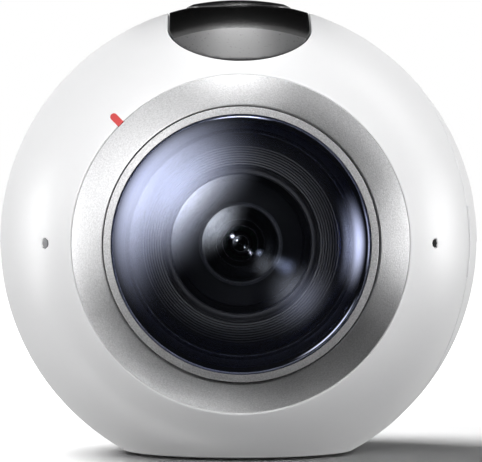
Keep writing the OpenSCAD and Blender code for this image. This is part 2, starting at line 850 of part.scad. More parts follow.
module top_board() {
  color("darkgreen") translate([0, 0, ball_z + top_board_dz]) {
    translate([-top_board_w / 2, -top_board_l / 2, 0]) cube([top_board_w, top_board_l, board_t]);
    translate([0, 0, board_t]) push_switch();
  }
}

// Side keys

module side_key(dz) {
  color("white") {
    intersection() {
      key_rod(dz, key_r, key_flange_x - key_flange_t, through);
      ball(ball_r);
    }
    key_rod(dz, key_flange_r, key_flange_x - key_flange_t, key_flange_x);
    key_rod(dz, stem_r, key_switch_x + key_travel + stop_gap, key_flange_x);
  }
}

module menu_key() { side_key(-key_dz); }
module power_key() { side_key(key_dz); }

module key_board() {
  board_w = 2 * frame_half_d - pocket_wall;
  color("darkgreen") {
    bay_box(-key_board_x - board_t, -key_board_x, board_w, 0, key_board_h);
    for (dz = [-key_dz, key_dz])
      translate([-key_board_x - board_t, key_y, ball_z + dz]) rotate([0, -90, 0]) push_switch();
  }
}

// Door and battery bay

module side_door() {
  color("white") difference() {
    union() {
      difference() {
        intersection() {
          door_prism(0);
          ball_wall(ball_r, door_in_r);
        }
        for (turn = [0, 180])
          translate([0, 0, ball_z]) rotate([turn, 0, 0])
            translate([hinge_x, hinge_y * (turn > 0 ? -1 : 1), knuckle_l / 2])
              cylinder(r = knuckle_r + clear, h = (hinge_l - knuckle_l) / 2 + clear);
      }
      hinge_rod(knuckle_r, -knuckle_l / 2, knuckle_l / 2);
    }
    hinge_rod(pin_r + run, -hinge_l, hinge_l);
    translate([0, -door_half_w - notch_w, ball_z - notch_l / 2]) cube([through, 2 * notch_w, notch_l]);
  }
}

module hinge_pin() {
  color("silver") hinge_rod(pin_r, -hinge_l / 2, hinge_l / 2);
}

module battery_bay() {
  color("black") difference() {
    intersection() {
      door_prism(bay_rim);
      ball(bay_out_r);
      translate([bay_floor_x - bay_back, -through / 2, ball_z - through / 2]) cube(through);
    }
    intersection() {
      door_prism(-bay_wall);
      translate([bay_top_x, -through / 2, ball_z - through / 2]) cube(through);
    }
    barrel_room();
    for (side = [front, rear])
      for (across = [-1, 1])
        dot_rod(side, across, mic_capsule_r + clear, 0, through);
    bay_box(0, bay_floor_x, 2 * (frame_half_d + seat), 0, through);
    bay_box(0, through, battery_t + 2 * fit, 0, battery_h + 2 * fit);
    bay_box(0, through, card_socket_w + fit, -card_dz, card_socket_h + fit);
    bay_box(0, through, usb_w + fit, usb_dz, usb_h + fit);
  }
}

module door_gasket() {
  color("darkslategray") difference() {
    intersection() {
      ball_wall(bay_out_r + seat + gasket_t, bay_out_r + seat);
      door_prism(-gasket_inset);
    }
    door_prism(-gasket_inset - gasket_w);
  }
}

module battery() {
  color("dimgray") bay_box(battery_x, bay_floor_x, battery_t, 0, battery_h);
}

module battery_contacts() {
  pins = 3;
  pitch = battery_t / (pins + 1);
  color("gold") {
    bay_box(contact_x, contact_x + contact_t, battery_t, 0, battery_t);
    for (i = [1:pins])
      translate([contact_x, i * pitch - battery_t / 2, ball_z]) rotate([0, 90, 0])
        cylinder(r = pitch / 4, h = contact_t + fit / 2);
  }
}

module card_socket() {
  color("silver") difference() {
    bay_box(card_end_x - card_l, card_end_x - bay_floor, card_socket_w, -card_dz, card_socket_h);
    bay_box(card_end_x - card_l + card_wall, through, card_w + 2 * fit, -card_dz, card_t + 2 * fit);
  }
}

module memory_card() {
  color("black") bay_box(card_end_x - card_l + card_wall + fit, card_end_x, card_w, -card_dz, card_t);
}

module charging_socket() {
  color("silver") difference() {
    bay_box(usb_end_x - usb_l, usb_end_x, usb_w, usb_dz, usb_h);
    difference() {
      bay_box(usb_end_x - usb_l + usb_wall, through, usb_w - 2 * usb_wall, usb_dz, usb_h - 2 * usb_wall);
      bay_box(0, usb_end_x - usb_wall, usb_w / 2, usb_dz, usb_h / 4);
    }
  }
}

// Frame and boards inside

module middle_frame() {
  pocket_w = 2 * (frame_half_d - pocket_wall);
  post_y = pocket_w / 3;
  post_dz = pocket_h * 2 / 5;
  color("slategray") difference() {
    union() {
      difference() {
        intersection() {
          bay_box(-frame_half_w, frame_half_w, 2 * frame_half_d, 0, 2 * frame_half_h);
          ball(bay_out_r);
        }
        bay_box(-through, -pocket_x, pocket_w, 0, pocket_h);
      }
      for (y = [-post_y, post_y])
        for (dz = [-post_dz, post_dz])
          translate([-pocket_x - standoff, y, ball_z + dz]) rotate([0, 90, 0])
            cylinder(r = screw_head_r, h = standoff + pocket_wall);
      for (x = [-foot_r, foot_r])
        translate([x, 0, base_top_z + seat])
          cylinder(r = post_r, h = frame_bottom_z - base_top_z + pocket_wall);
    }
    bay_box(contact_x - fit, through, battery_t + 2 * fit, 0, battery_h + 2 * fit);
    bay_box(card_end_x - card_l - fit, through, card_socket_w + fit, -card_dz, card_socket_h + fit);
    bay_box(usb_end_x - usb_l - fit, through, usb_w + fit, usb_dz, usb_h + fit);
    for (side = [front, rear])
      on_lens(side) at_posts() translate([0, 0, frame_half_d - screw_bite - fit])
        cylinder(r = screw_r + seat, h = through);
    for (x = [-foot_r, foot_r])
      translate([x, 0, 0]) cylinder(r = screw_r + seat, h = frame_bottom_z + seat);
  }
}

module main_board() {
  board_w = 2 * (frame_half_d - pocket_wall) - 2 * fit;
  color("darkgreen") {
    bay_box(-chip_x, -main_board_x, board_w, 0, pocket_h - 2 * fit);
    bay_box(-chip_x - chip_t, -main_board_x, chip_w, 0, chip_w);
  }
}

module heat_spreader() {
  color("silver") bay_box(-spreader_x - spreader_t, -spreader_x, chip_w, 0, spreader_h);
}

// Base

module base_plate() {
  color("whitesmoke") difference() {
    union() {
      translate([0, 0, foot_rise]) cylinder(r = base_r, h = base_top_z - foot_rise);
      translate([0, 0, base_flange_z]) cylinder(r = base_flange_r, h = base_flange_t);
    }
    barrel_room();
    cylinder(r = socket_r + fit, h = through);
    difference() {
      cylinder(r = foot_r + foot_w / 2 + fit, h = groove_z);
      cylinder(r = foot_r - foot_w / 2 - fit, h = groove_z);
    }
    for (x = [-foot_r, foot_r])
      translate([x, 0, 0]) {
        cylinder(r = screw_head_r + fit, h = groove_z + screw_head_t);
        cylinder(r = screw_r + fit, h = through);
      }
  }
}

module rubber_foot() {
  color("dimgray") difference() {
    cylinder(r = foot_r + foot_w / 2, h = foot_t);
    translate([0, 0, -foot_t]) cylinder(r = foot_r - foot_w / 2, h = 3 * foot_t);
  }
}

module tripod_socket() {
  color("goldenrod") difference() {
    union() {
      translate([0, 0, foot_rise]) cylinder(r = socket_r, h = frame_bottom_z - seat - foot_rise);
      translate([0, 0, base_top_z + seat]) cylinder(r = socket_flange_r, h = socket_flange_t);
    }
    translate([0, 0, foot_rise - past]) cylinder(r = thread_r, h = thread_l + past);
  }
}

// Screws

module lens_screws() {
  length = flange_top_u - frame_half_d + screw_bite;
  color("silver")
    for (side = [front, rear])
      on_lens(side) at_posts() translate([0, 0, flange_top_u]) rotate([180, 0, 0]) screw(length);
}

module base_screws() {
  head_z = groove_z + screw_head_t;
  color("silver")
    for (x = [-foot_r, foot_r])
      translate([x, 0, head_z]) screw(frame_bottom_z - head_z);
}

front_shell();
rear_shell();
index_mark();
front_lens_ring();
front_lens_bezel();
front_dome_lens();
front_lens_baffle();
front_lens_retainer();
front_inner_lens();
front_aperture_stop();
front_relay_lens();
front_lens_barrel();
front_sensor_board();
rear_lens_ring();
rear_lens_bezel();
rear_dome_lens();
rear_lens_baffle();
rear_lens_retainer();
rear_inner_lens();
rear_aperture_stop();
rear_relay_lens();
rear_lens_barrel();
rear_sensor_board();
front_status_window();
rear_status_window();
front_microphone();
rear_microphone();
top_panel();
shutter_button();
display_window();
display_module();
display_bracket();
top_board();
menu_key();
power_key();
key_board();
side_door();
hinge_pin();
battery_bay();
door_gasket();
battery();
battery_contacts();
card_socket();
memory_card();
charging_socket();
middle_frame();
main_board();
heat_spreader();
base_plate();
rubber_foot();
tripod_socket();
lens_screws();
base_screws();
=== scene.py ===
"""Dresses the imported 360 degree camera and sets up its studio.

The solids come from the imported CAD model. The outer pieces are rebuilt here on the same sizes with fine
meshes and rounded edges, every surface gets a procedural finish, and the lights, floor and camera follow.
All sizes are in millimetres until a mesh is finished, when it is scaled to metres.
"""

import json
import logging
import math
from dataclasses import dataclass, field
from enum import Enum
from functools import partial
from typing import Callable, Optional, Sequence, Union

import bmesh
import bpy
from bpy.types import ID, Material, Mesh, NodeSocket, NodeTree, Object
from mathutils import Matrix, Vector


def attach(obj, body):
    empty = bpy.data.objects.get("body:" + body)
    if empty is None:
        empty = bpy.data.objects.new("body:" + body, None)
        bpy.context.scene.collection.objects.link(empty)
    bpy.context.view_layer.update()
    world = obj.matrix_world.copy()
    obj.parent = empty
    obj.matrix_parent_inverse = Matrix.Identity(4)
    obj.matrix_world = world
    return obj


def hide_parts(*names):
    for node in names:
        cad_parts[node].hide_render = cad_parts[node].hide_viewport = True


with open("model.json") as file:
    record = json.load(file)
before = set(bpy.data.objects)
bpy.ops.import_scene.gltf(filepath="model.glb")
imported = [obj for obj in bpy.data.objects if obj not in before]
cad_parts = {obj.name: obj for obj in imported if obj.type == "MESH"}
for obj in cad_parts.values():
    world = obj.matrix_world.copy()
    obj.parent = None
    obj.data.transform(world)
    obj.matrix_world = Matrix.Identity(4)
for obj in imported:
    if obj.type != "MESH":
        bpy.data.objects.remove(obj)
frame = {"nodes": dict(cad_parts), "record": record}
LOG = logging.getLogger("camera_360")
MM = 0.001
MERGE = 0.0002
WELD = 0.0001
ON_AXIS = 0.000001
STRAIGHT = math.radians(168.0)
SIDE_SHARE = 0.45
Outline = list[tuple[float, float]]
Colour = tuple[float, float, float]
Key = Union[str, int]
Foot = Callable[[Vector], Optional[Vector]]


class Body(Enum):
    """The CAD bodies that a piece can ride on."""

    CAMERA = "camera_body"
    DOOR = "door"
    SHUTTER = "shutter"
    MENU = "menu"
    POWER = "power"


class Side(Enum):
    """The two lens sides, with the sign of their direction along Y."""

    FRONT = -1
    REAR = 1


class Cut(Enum):
    """Ways in which one solid changes another."""

    REMOVE = "DIFFERENCE"
    KEEP = "INTERSECT"


Step = tuple[Cut, Mesh]


# Node graphs


def operator(operation: str, reflected: bool = False) -> Callable[["Value", "Term"], "Value"]:
    """Makes an operator of values out of a maths node's operation.

    Args:
        operation: the node's operation.
        reflected: whether the value stands on the operator's right.

    Returns:
        The operator's method.
    """
    def apply(value: "Value", other: "Term") -> "Value":
        """Adds the maths node."""
        first, second = (other, value) if reflected else (value, other)
        return value.graph.math(operation, first, second)

    return apply


class Value:
    """A node's output that can be used in sums, products and comparisons."""

    __add__ = operator("ADD")
    __radd__ = operator("ADD", True)
    __sub__ = operator("SUBTRACT")
    __rsub__ = operator("SUBTRACT", True)
    __mul__ = operator("MULTIPLY")
    __rmul__ = operator("MULTIPLY", True)
    __truediv__ = operator("DIVIDE")
    __rtruediv__ = operator("DIVIDE", True)
    __pow__ = operator("POWER")
    __gt__ = operator("GREATER_THAN")

    def __init__(self, graph: "Graph", socket: NodeSocket) -> None:
        """Keeps the graph that new nodes are added to, and the output socket."""
        self.graph = graph
        self.socket = socket

    def __abs__(self) -> "Value":
        """Returns the size of self without its sign."""
        return self.graph.math("ABSOLUTE", self)


Term = Union[Value, float, int, Sequence[float]]


class Graph:
    """A node tree that is filled through short calls."""

    def __init__(self, tree: NodeTree) -> None:
        """Empties the node tree of a material, a world or a shape."""
        self.tree = tree
        tree.nodes.clear()

    def put(self, socket: NodeSocket, term: Term) -> None:
        """Links or sets one input.

        Args:
            socket: the input socket.
            term: a value to link, or a constant to set.
        """
        if isinstance(term, Value):
            self.tree.links.new(term.socket, socket)
        elif isinstance(term, (int, float)) or len(term) == len(socket.default_value):
            socket.default_value = term
        else:
            socket.default_value = (*term, 1.0)

    def node(self, kind: str, inputs: Optional[dict[Key, Term]] = None, output: Key = 0,
             **settings: object) -> Value:
        """Adds a node.

        Args:
            kind: the node's type name.
            inputs: input socket names or numbers, with what to put there.
            output: the output socket that is returned.
            settings: properties of the node.

        Returns:
            The chosen output.
        """
        made = self.tree.nodes.new(kind)
        for name, setting in settings.items():
            setattr(made, name, setting)
        for key, term in (inputs or {}).items():
            self.put(made.inputs[key], term)
        return Value(self, made.outputs[output])

    def math(self, operation: str, first: Term, second: Term = 0.0) -> Value:
        """Adds a maths node on one or two operands."""
        return self.node("ShaderNodeMath", {0: first, 1: second}, operation=operation)

    def vector(self, x: Term = 0.0, y: Term = 0.0, z: Term = 0.0) -> Value:
        """Joins three parts to a vector."""
        return self.node("ShaderNodeCombineXYZ", {0: x, 1: y, 2: z})

    def place(self) -> Value:
        """Returns the point on the surface in the object's own coordinates, in metres."""
        return self.node("ShaderNodeTexCoord", output="Object")

    def parts(self, vector: Value) -> tuple[Value, Value, Value]:
        """Splits a vector into its three parts."""
        split = self.node("ShaderNodeSeparateXYZ", {0: vector}).socket.node
        return tuple(Value(self, out) for out in split.outputs)

    def noise(self, where: Value, scale: float, detail: float = 3.0, rough: float = 0.5) -> Value:
        """Adds a noise from 0 to 1, with its waves per metre and the weight of its finer layers."""
        return self.node("ShaderNodeTexNoise", {"Vector": where, "Scale": scale, "Detail": detail,
                                                "Roughness": rough})

    def span(self, value: Term, low: float, high: float, start: Term = 0.0, end: Term = 1.0,
             kind: str = "LINEAR") -> Value:
        """Maps the range from low to high onto start to end, and holds the ends."""
        return self.node("ShaderNodeMapRange", {0: value, 1: low, 2: high, 3: start, 4: end},
                         interpolation_type=kind)

    def stretch(self, noise: Value, start: Term = 0.0, end: Term = 1.0) -> Value:
        """Maps the usual range of a noise onto another one."""
        return self.span(noise, 0.3, 0.7, start, end)

    def blend(self, share: Term, first: Term, second: Term) -> Value:
        """Mixes two colours by the share of the second one."""
        return self.node("ShaderNodeMix", {0: share, 6: first, 7: second}, 2, data_type="RGBA")

    def bump(self, height: Value, depth: float) -> Value:
        """Turns heights from 0 to 1 into a normal, given their full size in metres."""
        return self.node("ShaderNodeBump", {"Height": height, "Distance": depth, "Strength": 1.0})

    def surface(self, **inputs: Term) -> Value:
        """Adds a Principled shader, with underscores for the spaces in its sockets' names."""
        named = {key.replace("_", " "): term for key, term in inputs.items()}
        return self.node("ShaderNodeBsdfPrincipled", named)

    def mix(self, share: Term, first: Value, second: Value) -> Value:
        """Mixes two shaders by the share of the second one."""
        return self.node("ShaderNodeMixShader", {0: share, 1: first, 2: second})

    def end(self, shader: Value, kind: str = "ShaderNodeOutputMaterial") -> None:
        """Links the last shader to an output node."""
        output = self.tree.nodes.new(kind)
        self.tree.links.new(shader.socket, output.inputs["Surface"])


# Finishes


def shaded(colour: Colour, tone: float) -> Colour:
    """Darkens a colour by a share."""
    return tuple(part * (1.0 - tone) for part in colour)


@dataclass(frozen=True)
class Finish:
    """A named procedural material."""

    name: str

    def make(self) -> Material:
        """Builds the material.

        Returns:
            The material.
        """
        material = bpy.data.materials.new(self.name)
        material.use_nodes = True
        graph = Graph(material.node_tree)
        graph.end(self.shade(graph))
        return material

    def shade(self, graph: Graph) -> Value:
        """Fills the empty graph and returns its shader. Each kind of finish has its own."""
        raise NotImplementedError


@dataclass(frozen=True)
class Moulded(Finish):
    """Moulded plastic or rubber with a fine skin texture."""

    colour: Colour
    rough: float
    grain: float = 2600.0
    grain_depth: float = 0.000004
    coat: float = 0.0
    tone: float = 0.05
    specular: float = 0.5
    mottle: float = 90.0

    def shade(self, graph: Graph) -> Value:
        """Fills the graph.

        Args:
            graph: the empty graph.

        Returns:
            The plastic's shader.
        """
        where = graph.place()
        fine = graph.noise(where, self.grain, 2.0)
        broad = graph.noise(where, self.mottle, 4.0, 0.6)
        colour = graph.blend(graph.stretch(broad), shaded(self.colour, self.tone), self.colour)
        rough = graph.span(broad + fine * 0.5, 0.4, 1.1, self.rough * 0.85, self.rough * 1.15)
        return graph.surface(Base_Color=colour, Roughness=rough, Coat_Weight=self.coat, Coat_Roughness=0.12,
                             Specular_IOR_Level=self.specular, Normal=graph.bump(fine, self.grain_depth))


@dataclass(frozen=True)
class Grained(Finish):
    """Satin metal with a fine blasted grain."""

    colour: Colour
    rough: float
    grain: float = 4200.0
    grain_depth: float = 0.000012
    contrast: float = 0.12
    metal: float = 1.0
    mottle: float = 160.0

    def shade(self, graph: Graph) -> Value:
        """Fills the graph.

        Args:
            graph: the empty graph.

        Returns:
            The metal's shader.
        """
        where = graph.place()
        fine = graph.noise(where, self.grain, 3.0, 0.65)
        broad = graph.noise(where, self.mottle)
        colour = graph.blend(graph.stretch(fine), shaded(self.colour, self.contrast), self.colour)
        rough = graph.stretch(broad, self.rough * 0.88, self.rough * 1.12)
        return graph.surface(Base_Color=colour, Metallic=self.metal, Roughness=rough,
                             Normal=graph.bump(fine, self.grain_depth))


@dataclass(frozen=True)
class CoatedGlass(Finish):
    """Thin coated glass that lets the inside show and gives tinted reflections, with an optional share of
    painted shade.
    """

    tint: Colour
    second_tint: Colour
    base_share: float
    edge_share: float
    gain: float = 8.0
    rough: float = 0.012
    # share of painted shade: a dark matte layer mixed over the clear glass
    painted_shade: float = 0.0
    fall: float = 2.2
    clear: Colour = (0.93, 0.94, 0.96)
    painted_shade_colour: Colour = (0.008, 0.01, 0.018)
    streaks: float = 55.0
    dust: float = 1500.0

    def shade(self, graph: Graph) -> Value:
        """Fills the graph.

        Args:
            graph: the empty graph.

        Returns:
            The glass's shader.
        """
        where = graph.place()
        streak = graph.noise(where, self.streaks, 2.0)
        tint = graph.blend(graph.span(streak, 0.35, 0.65), self.tint, self.second_tint)
        dust = graph.noise(where, self.dust, 2.0)
        rough = graph.span(dust, 0.3, 0.8, self.rough * 0.5, self.rough * 2.0)
        facing = graph.node("ShaderNodeLayerWeight", {"Blend": 0.5}, "Facing")
        share = graph.math("MINIMUM", facing ** self.fall * self.gain + self.base_share, self.edge_share)
        clear = graph.node("ShaderNodeBsdfTransparent", {"Color": self.clear})
        # painted shade: a dark matte share mixed over the clear glass stands in for the dark inside of the
        # lens seen through it
        if self.painted_shade > 0.0:
            dark = graph.surface(Base_Color=self.painted_shade_colour, Roughness=0.3, Specular_IOR_Level=0.0)
            clear = graph.mix(self.painted_shade, clear, dark)
        shine = graph.surface(Base_Color=tint, Metallic=1.0, Roughness=rough)
        return graph.mix(share, clear, shine)


@dataclass(frozen=True)
class SlopedGloss(Finish):
    """Black plastic, polished in the middle and satin beyond a distance along the lens axis, where a lighter
    colour paints the sheen of reflected light.
    """

    colour: Colour
    painted_sheen_colour: Colour
    edge: float
    rough: float
    slope_rough: float
    tone: float = 0.15
    wave_depth: float = 0.000004
    grain: float = 3000.0
    mottle: float = 120.0

    def shade(self, graph: Graph) -> Value:
        """Fills the graph.

        Args:
            graph: the empty graph.

        Returns:
            The plastic's shader.
        """
        where = graph.place()
        along = graph.parts(where)[1]
        sloped = abs(along) > self.edge
        fine = graph.noise(where, self.grain, 2.0)
        broad = graph.noise(where, self.mottle)
        # painted sheen: the sloped ends get a lighter base colour that stands in for the light they reflect;
        # their roughness rises too
        base = graph.blend(sloped, self.colour, self.painted_sheen_colour)
        darker = graph.blend(sloped, shaded(self.colour, self.tone), shaded(self.painted_sheen_colour, self.tone))
        colour = graph.blend(graph.stretch(broad), darker, base)
        polish = graph.stretch(fine, self.rough * 0.8, self.rough * 1.2)
        rough = sloped * (self.slope_rough - self.rough) + polish
        return graph.surface(Base_Color=colour, Roughness=rough, Specular_IOR_Level=0.3,
                             Normal=graph.bump(broad, self.wave_depth))


@dataclass(frozen=True)
class Board(Finish):
    """Circuit board with solder mask and copper tracks under it."""

    colour: Colour
    track: Colour
    track_depth: float = 0.00002
    cells: float = 700.0

    def shade(self, graph: Graph) -> Value:
        """Fills the graph.

        Args:
            graph: the empty graph.

        Returns:
            The board's shader.
        """
        where = graph.place()
        cells = graph.node("ShaderNodeTexVoronoi", {"Vector": where, "Scale": self.cells}, "Distance",
                           feature="DISTANCE_TO_EDGE", distance="EUCLIDEAN")
        lines = graph.span(cells, 0.02, 0.08, 1.0, 0.0)
        colour = graph.blend(lines, self.colour, self.track)
        return graph.surface(Base_Color=colour, Roughness=graph.span(cells, 0.0, 0.4, 0.3, 0.45),
                             Normal=graph.bump(lines, self.track_depth))


@dataclass(frozen=True)
class Glow(Finish):
    """A studio card's light, or its black, that fades to clear towards the card's edges."""

    colour: Colour
    strength: float
    soft: float

    def shade(self, graph: Graph) -> Value:
        """Fills the graph.

        Args:
            graph: the empty graph.

        Returns:
            The card's shader.
        """
        across, along, _ = graph.parts(graph.node("ShaderNodeUVMap", uv_map="card"))
        fades = [graph.span(abs(share - 0.5) * 2.0, 1.0 - self.soft, 1.0, 1.0, 0.0, "SMOOTHSTEP")
                 for share in (across, along)]
        clear = graph.node("ShaderNodeBsdfTransparent")
        light = graph.surface(Base_Color=(0.0, 0.0, 0.0), Specular_IOR_Level=0.0, Emission_Color=self.colour,
                              Emission_Strength=self.strength)
        return graph.mix(fades[0] ** 2.0 * fades[1], clear, light)


@dataclass(frozen=True)
class PaleFloor(Finish):
    """The studio's floor: pale to the camera, dimmer as a bounce on the object and clear from below."""

    bounce: float
    white_x: float
    white_start: float
    white_end: float
    tones: tuple[Colour, Colour] = ((0.9, 0.9, 0.9), (0.93, 0.93, 0.93))
    mottle: float = 6.0

    def shade(self, graph: Graph) -> Value:
        """Fills the graph.

        Args:
            graph: the empty graph.

        Returns:
            The floor's shader.
        """
        where = graph.place()
        x, y, _ = graph.parts(where)
        seen = graph.node("ShaderNodeLightPath", output="Is Camera Ray")
        away = ((x - self.white_x) ** 2.0 + y ** 2.0) ** 0.5
        far = graph.span(away, self.white_start, self.white_end)
        pale = graph.blend(graph.stretch(graph.noise(where, self.mottle, 2.0)), *self.tones)
        colour = graph.blend(seen, (self.bounce,) * 3, pale)
        glow = graph.blend(seen * far, (0.0, 0.0, 0.0), (1.0, 1.0, 1.0))
        shown = graph.surface(Base_Color=colour, Roughness=0.9, Specular_IOR_Level=0.0, Emission_Color=glow,
                              Emission_Strength=1.0)
        below = graph.node("ShaderNodeNewGeometry", output="Backfacing")
        return graph.mix(below, shown, graph.node("ShaderNodeBsdfTransparent"))


# Meshes


def make_object(name: str, data: ID) -> Object:
    """Puts a mesh, a light or a camera into the scene.

    Args:
        name: the object's name.
        data: its mesh, light or camera.

    Returns:
        The object.
    """
    made = bpy.data.objects.new(name, data)
    bpy.context.scene.collection.objects.link(made)
    return made


def drop(scratch: Sequence[Object]) -> None:
    """Removes helper objects."""
    for item in scratch:
        bpy.data.objects.remove(item)


def mesh_of(shape: bmesh.types.BMesh, name: str) -> Mesh:
    """Turns a bmesh into a mesh with outward faces and frees it.

    Args:
        shape: the bmesh.
        name: the mesh's name.

    Returns:
        The mesh.
    """
    bmesh.ops.recalc_face_normals(shape, faces=shape.faces)
    mesh = bpy.data.meshes.new(name)
    shape.to_mesh(mesh)
    shape.free()
    return mesh


def prism(outline: Outline, low: float, high: float, placed: Matrix) -> Mesh:
    """Makes a closed prism.

    Args:
        outline: its flat outline.
        low: where it starts along its own Z axis.
        high: where it ends.
        placed: where it is put.

    Returns:
        The prism's mesh.
    """
    shape = bmesh.new()
    bottom = shape.faces.new([shape.verts.new(placed @ Vector((x, y, low))) for x, y in outline])
    grown = bmesh.ops.extrude_face_region(shape, geom=[bottom])
    climb = placed.to_3x3() @ Vector((0.0, 0.0, high - low))
    top = [item for item in grown["geom"] if isinstance(item, bmesh.types.BMVert)]
    bmesh.ops.translate(shape, vec=climb, verts=top)
    return mesh_of(shape, "prism")


def circle(radius: float, count: int = 128) -> Outline:
    """Gives a number of points on a circle."""
    turns = [2.0 * math.pi * i / count for i in range(count)]
    return [(radius * math.cos(a), radius * math.sin(a)) for a in turns]


def rectangle(half_x: float, half_y: float, corner: float, steps: int = 6) -> Outline:
    """Gives the points of a rectangle with round corners.

    Args:
        half_x: half its width.
        half_y: half its height.
        corner: the radius of its corners.
        steps: how many parts each corner has.

    Returns:
        The points.
    """
    points = []
    for quarter, (sign_x, sign_y) in enumerate(((1, 1), (-1, 1), (-1, -1), (1, -1))):
        for step in range(steps + 1):
            turn = math.pi / 2.0 * (quarter + step / steps)
            points.append((sign_x * (half_x - corner) + corner * math.cos(turn),
                           sign_y * (half_y - corner) + corner * math.sin(turn)))
    return points


def band(inner: float, outer: float, low: float, high: float) -> Outline:
    """Gives the outline of a plain ring from its two radii and its two heights."""
    return [(inner, low), (outer, low), (outer, high), (inner, high)]


def carve(base: Mesh, cuts: Sequence[Step]) -> Mesh:
    """Cuts a solid with others, one after the other.

    Args:
        base: the solid's mesh.
        cuts: what is done with each other solid.

    Returns:
        The mesh that is left.
    """
    target = make_object("scratch_base", base)
    scratch = [target]
    for cut, mesh in cuts:
        tool = make_object("scratch_tool", mesh)
        scratch.append(tool)
        step = target.modifiers.new("cut", "BOOLEAN")
        step.operation = cut.value
        step.solver = "EXACT"
        step.object = tool
    bpy.context.view_layer.update()
    seen = target.evaluated_get(bpy.context.evaluated_depsgraph_get())
    mesh = bpy.data.meshes.new_from_object(seen)
    drop(scratch)
    return mesh


@dataclass(frozen=True)
class Edge:
    """How a skin is given thickness: its wall and the rounding of its edges."""

    wall: float
    lip: float
    steps: int = 4


def thicken(skin: Mesh, edge: Edge, foot: Optional[Foot] = None) -> Mesh:
    """Turns an open skin into a closed shell with rounded edges.

    The skin ends one lip short of the piece's edge. The lip rounds the edge, then the wall goes inwards.

    Args:
        skin: the open outer surface.
        edge: the wall and the lip.
        foot: gives the wall's inner point at an edge point where it isn't straight in.

    Returns:
        The closed mesh.
    """
    shape = bmesh.new()
    shape.from_mesh(skin)
    bmesh.ops.remove_doubles(shape, verts=shape.verts, dist=WELD)
    bmesh.ops.recalc_face_normals(shape, faces=shape.faces)
    shape.normal_update()
    faces = list(shape.faces)
    inner = {v: shape.verts.new(v.co - v.normal * edge.wall) for v in list(shape.verts)}
    rims = {}
    border = [e for e in shape.edges if e.is_boundary]
    for line in border:
        middle = (line.verts[0].co + line.verts[1].co) / 2.0
        for vert in line.verts:
            side = (line.verts[1].co - line.verts[0].co).normalized().cross(vert.normal)
            if side.dot(line.link_faces[0].calc_center_median() - middle) > 0.0:
                side = -side
            rims[vert] = rims.get(vert, Vector()) + side
    rings = {}
    for vert, side in rims.items():
        reach = side * (2.0 / max(side.length_squared, 1.6)) * edge.lip
        chain = [vert]
        for step in range(1, edge.steps + 1):
            turn = math.pi / 2.0 * step / edge.steps
            drop_by = vert.normal * edge.lip * (1.0 - math.cos(turn))
            chain.append(shape.verts.new(vert.co + reach * math.sin(turn) - drop_by))
        last = foot(vert.co + reach) if foot else None
        chain.append(shape.verts.new(last or vert.co + reach - vert.normal * edge.wall))
        chain.append(inner[vert])
        rings[vert] = chain
    for line in border:
        loop = line.link_loops[0]
        first, second = rings[loop.link_loop_next.vert], rings[loop.vert]
        for low in range(len(first) - 1):
            shape.faces.new((first[low], second[low], second[low + 1], first[low + 1]))
    for face in faces:
        shape.faces.new([inner[v] for v in reversed(face.verts)])
    return mesh_of(shape, skin.name)


def finish_mesh(mesh: Mesh, sharp: float = 34.0) -> Mesh:
    """Scales a mesh to metres and shades it smoothly between its sharp edges.

    Args:
        mesh: the mesh in millimetres.
        sharp: the angle in degrees beyond which an edge is sharp.

    Returns:
        The same mesh.
    """
    mesh.transform(Matrix.Scale(MM, 4))
    mesh.shade_smooth()
    mesh.set_sharp_from_angle(angle=math.radians(sharp))
    return mesh


# Geometry Nodes


def line_mesh(points: Sequence[Sequence[float]]) -> Mesh:
    """Makes a mesh of loose edges through some points.

    Args:
        points: the points.

    Returns:
        The mesh.
    """
    mesh = bpy.data.meshes.new("line")
    mesh.from_pydata([tuple(p) for p in points], [(i, i + 1) for i in range(len(points) - 1)], [])
    return mesh


